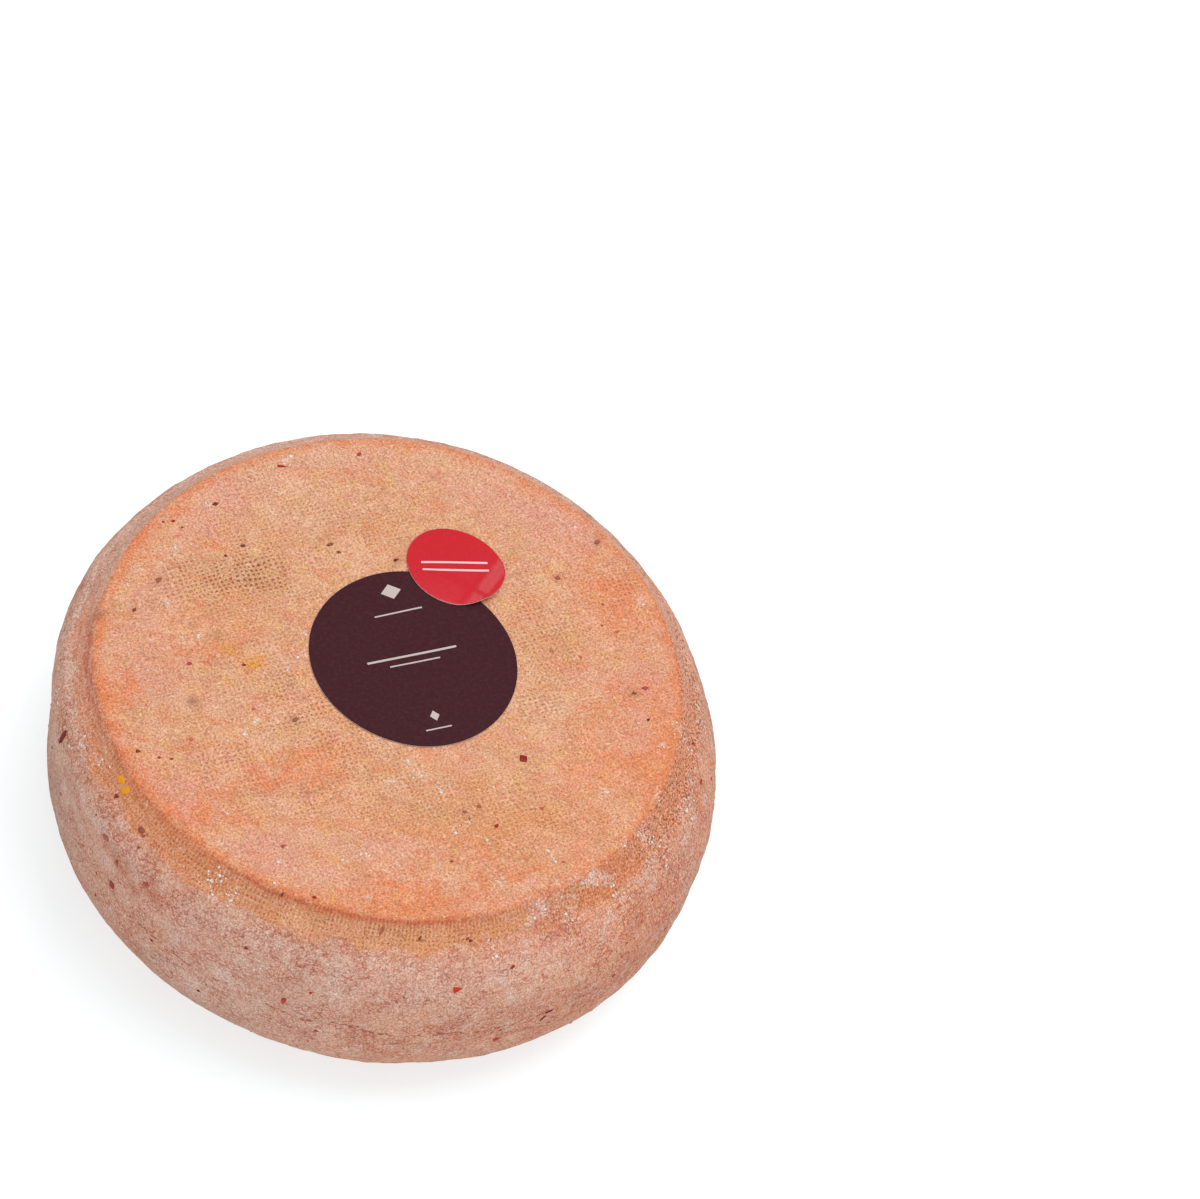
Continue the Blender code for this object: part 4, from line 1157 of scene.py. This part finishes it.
def ink_mask(tree, place, centre, turn, shapes):
    """1 inside any of the printed shapes, which lie along and across the paper's own turned axes."""
    inked = 0.0
    for along, across, half_long, half_wide, lozenge in shapes:
        px = centre[0] + MM * (along * math.cos(turn) - across * math.sin(turn))
        py = centre[1] + MM * (along * math.sin(turn) + across * math.cos(turn))
        own = {"Vector": place, "Location": (px, py, 0), "Rotation": (0, 0, turn),
               "Scale": (half_long * MM, half_wide * MM, 1)}
        local = add(tree, "Mapping", own, vector_type="TEXTURE")
        local = add(tree, "VectorMath", {0: local}, operation="ABSOLUTE")
        sides = [add(tree, "SeparateXYZ", {"Vector": local}, out=axis) for axis in ("X", "Y")]
        far = add(tree, "Math", {0: sides[0], 1: sides[1]}, operation="ADD" if lozenge else "MAXIMUM")
        inside = add(tree, "Math", {0: far, 1: 1.0}, operation="LESS_THAN")
        inked = add(tree, "Math", {0: inked, 1: inside}, operation="MAXIMUM")
    return inked


def make_paper(name, colour, fleck, ink, gloss, roughness, centre, turn, shapes):
    """Printed paper: an even field of ink, faint fibres, and a white core that shows at the cut edge."""
    material, tree, shader = new_material(name)
    place = add(tree, "TexCoord", {}, out="Object")
    face = add(tree, "Attribute", {}, out="Fac", attribute_name="face")
    fibre = blotches(tree, place, 1.2, 3.0, 0.6, 0.4, 0.75)
    inked = ink_mask(tree, place, centre, turn, shapes)
    print_rows = ((fleck, 0.5, fibre), (ink, 0.9, inked))
    field = laid_over(tree, linear(colour, TOP_LIGHT), washes(tree, TOP_LIGHT, *print_rows))
    core = add(tree, "Math", {0: face, 1: 0.5}, operation="LESS_THAN")
    whole = laid_over(tree, field, ((core, linear(PAPER_CORE, TOP_LIGHT)),))
    tree.links.new(whole, shader.inputs["Base Color"])
    shader.inputs["Roughness"].default_value = roughness
    shader.inputs["Specular IOR Level"].default_value = gloss
    bump = add(tree, "Bump", {"Height": fibre, "Distance": 0.02 * MM, "Strength": 0.6})
    tree.links.new(bump, shader.inputs["Normal"])
    return material


brown_paper = make_paper(
    "brown_paper", "441F26", "543037", "D6C9C4", 0.06, 0.7, LABEL_CENTRE, LABEL_TURN, LABEL_INK
)
red_paper = make_paper(
    "red_paper", "D00A20", "D81C30", "F2DADA", 0.30, 0.27, STICKER_CENTRE, STICKER_TURN, STICKER_INK
)
label_mesh = paper_sheet("brown_label", LABEL_CENTRE, LABEL_RADIUS, (), label_height, *LABEL_GRID)
sticker_mesh = paper_sheet(
    "red_sticker", STICKER_CENTRE, STICKER_RADIUS, STICKER_HARMONICS, sticker_height, *STICKER_GRID
)
finished("brown_label", label_mesh, brown_paper, "brown_paper", "round_label")
finished("red_sticker", sticker_mesh, red_paper, "red_paper", "round_sticker")

# %% [markdown]
# ## The studio
#
# The wheel was photographed on white with very soft light from all sides and a little more from the right.
# The floor is pale grey and glows a little, as an overexposed sheet does: it is pure white where the light
# reaches it and keeps a soft grey halo under the wheel. The standard view keeps the colours as picked.

# %% Floor, light and camera
FLOOR_REACH = 4.0
FLOOR_COLOUR = (0.405, 0.45, 0.465, 1)
FLOOR_GLOW = (0.987, 0.995, 1.0, 1)
FLOOR_GLOW_STRENGTH = 0.615
WORLD_STRENGTH = 0.70


def make_stage():
    corners = [(FLOOR_REACH * i, FLOOR_REACH * j, 0) for i, j in ((-1, -1), (1, -1), (1, 1), (-1, 1))]
    mesh = bpy.data.meshes.new("floor")
    mesh.from_pydata(corners, [], [(0, 1, 2, 3)])
    floor = bpy.data.objects.new("floor", mesh)
    bpy.context.scene.collection.objects.link(floor)
    material, _, shader = new_material("white_floor")
    shader.inputs["Base Color"].default_value = FLOOR_COLOUR
    shader.inputs["Roughness"].default_value = 1.0
    shader.inputs["Specular IOR Level"].default_value = 0.0
    shader.inputs["Emission Color"].default_value = FLOOR_GLOW
    shader.inputs["Emission Strength"].default_value = FLOOR_GLOW_STRENGTH
    mesh.materials.append(material)


def make_light(name, place, size, watts):
    """A square soft light at a place, facing the wheel."""
    light = bpy.data.lights.new(name, "AREA")
    light.size = size
    light.energy = watts
    lamp = bpy.data.objects.new(name, light)
    lamp.location = place
    lamp.rotation_euler = (Vector((0, 0, 0.05)) - Vector(place)).to_track_quat("-Z", "Y").to_euler()
    lamp.visible_camera = False
    bpy.context.scene.collection.objects.link(lamp)


LIGHTS = (  # name, place and size in metres, watts
    ("key", (0.40, 0.25, 1.8), 1.2, 22),
    ("front", (0.1, -1.6, 1.35), 1.0, 8),
    ("rim", (-0.55, 1.5, 1.3), 0.4, 2),
)
make_stage()
for light in LIGHTS:
    make_light(*light)
world = bpy.data.worlds.new("studio")
world.use_nodes = True
world.node_tree.nodes["Background"].inputs["Color"].default_value = (1.0, 1.0, 1.0, 1)
world.node_tree.nodes["Background"].inputs["Strength"].default_value = WORLD_STRENGTH
bpy.context.scene.world = world
bpy.context.scene.view_settings.view_transform = "Standard"

LENS_MM = 135
SENSOR_MM = 36
FOCAL_PX = 4500
PHOTO_MIDDLE_PX = (600.0, 599.5)
WHEEL_AT_PX = (385.18, 740.51)
WHEEL_CENTRE = Vector((0.0, 0.0, 0.04329))
CAMERA_PLACE = Vector((0.0, -0.89990, 1.26137))
CAMERA_ROLL = math.radians(15.75)


def place_camera():
    """Aims the camera at the wheel's centre, rolls it, and turns it until the centre lands off middle."""
    lens = bpy.data.cameras.new("camera")
    lens.lens = LENS_MM
    lens.sensor_width = SENSOR_MM
    camera = bpy.data.objects.new("camera", lens)
    bpy.context.scene.collection.objects.link(camera)
    aimed = (WHEEL_CENTRE - CAMERA_PLACE).to_track_quat("-Z", "Y").to_matrix()
    rolled = aimed @ Matrix.Rotation(CAMERA_ROLL, 3, "Z")
    right, down = (at - mid for at, mid in zip(WHEEL_AT_PX, PHOTO_MIDDLE_PX))
    ray = Vector((right / FOCAL_PX, -down / FOCAL_PX, -1)).normalized()
    turned = rolled @ ray.rotation_difference(Vector((0, 0, -1))).to_matrix()
    camera.matrix_world = Matrix.Translation(CAMERA_PLACE) @ turned.to_4x4()
    bpy.context.scene.camera = camera


place_camera()
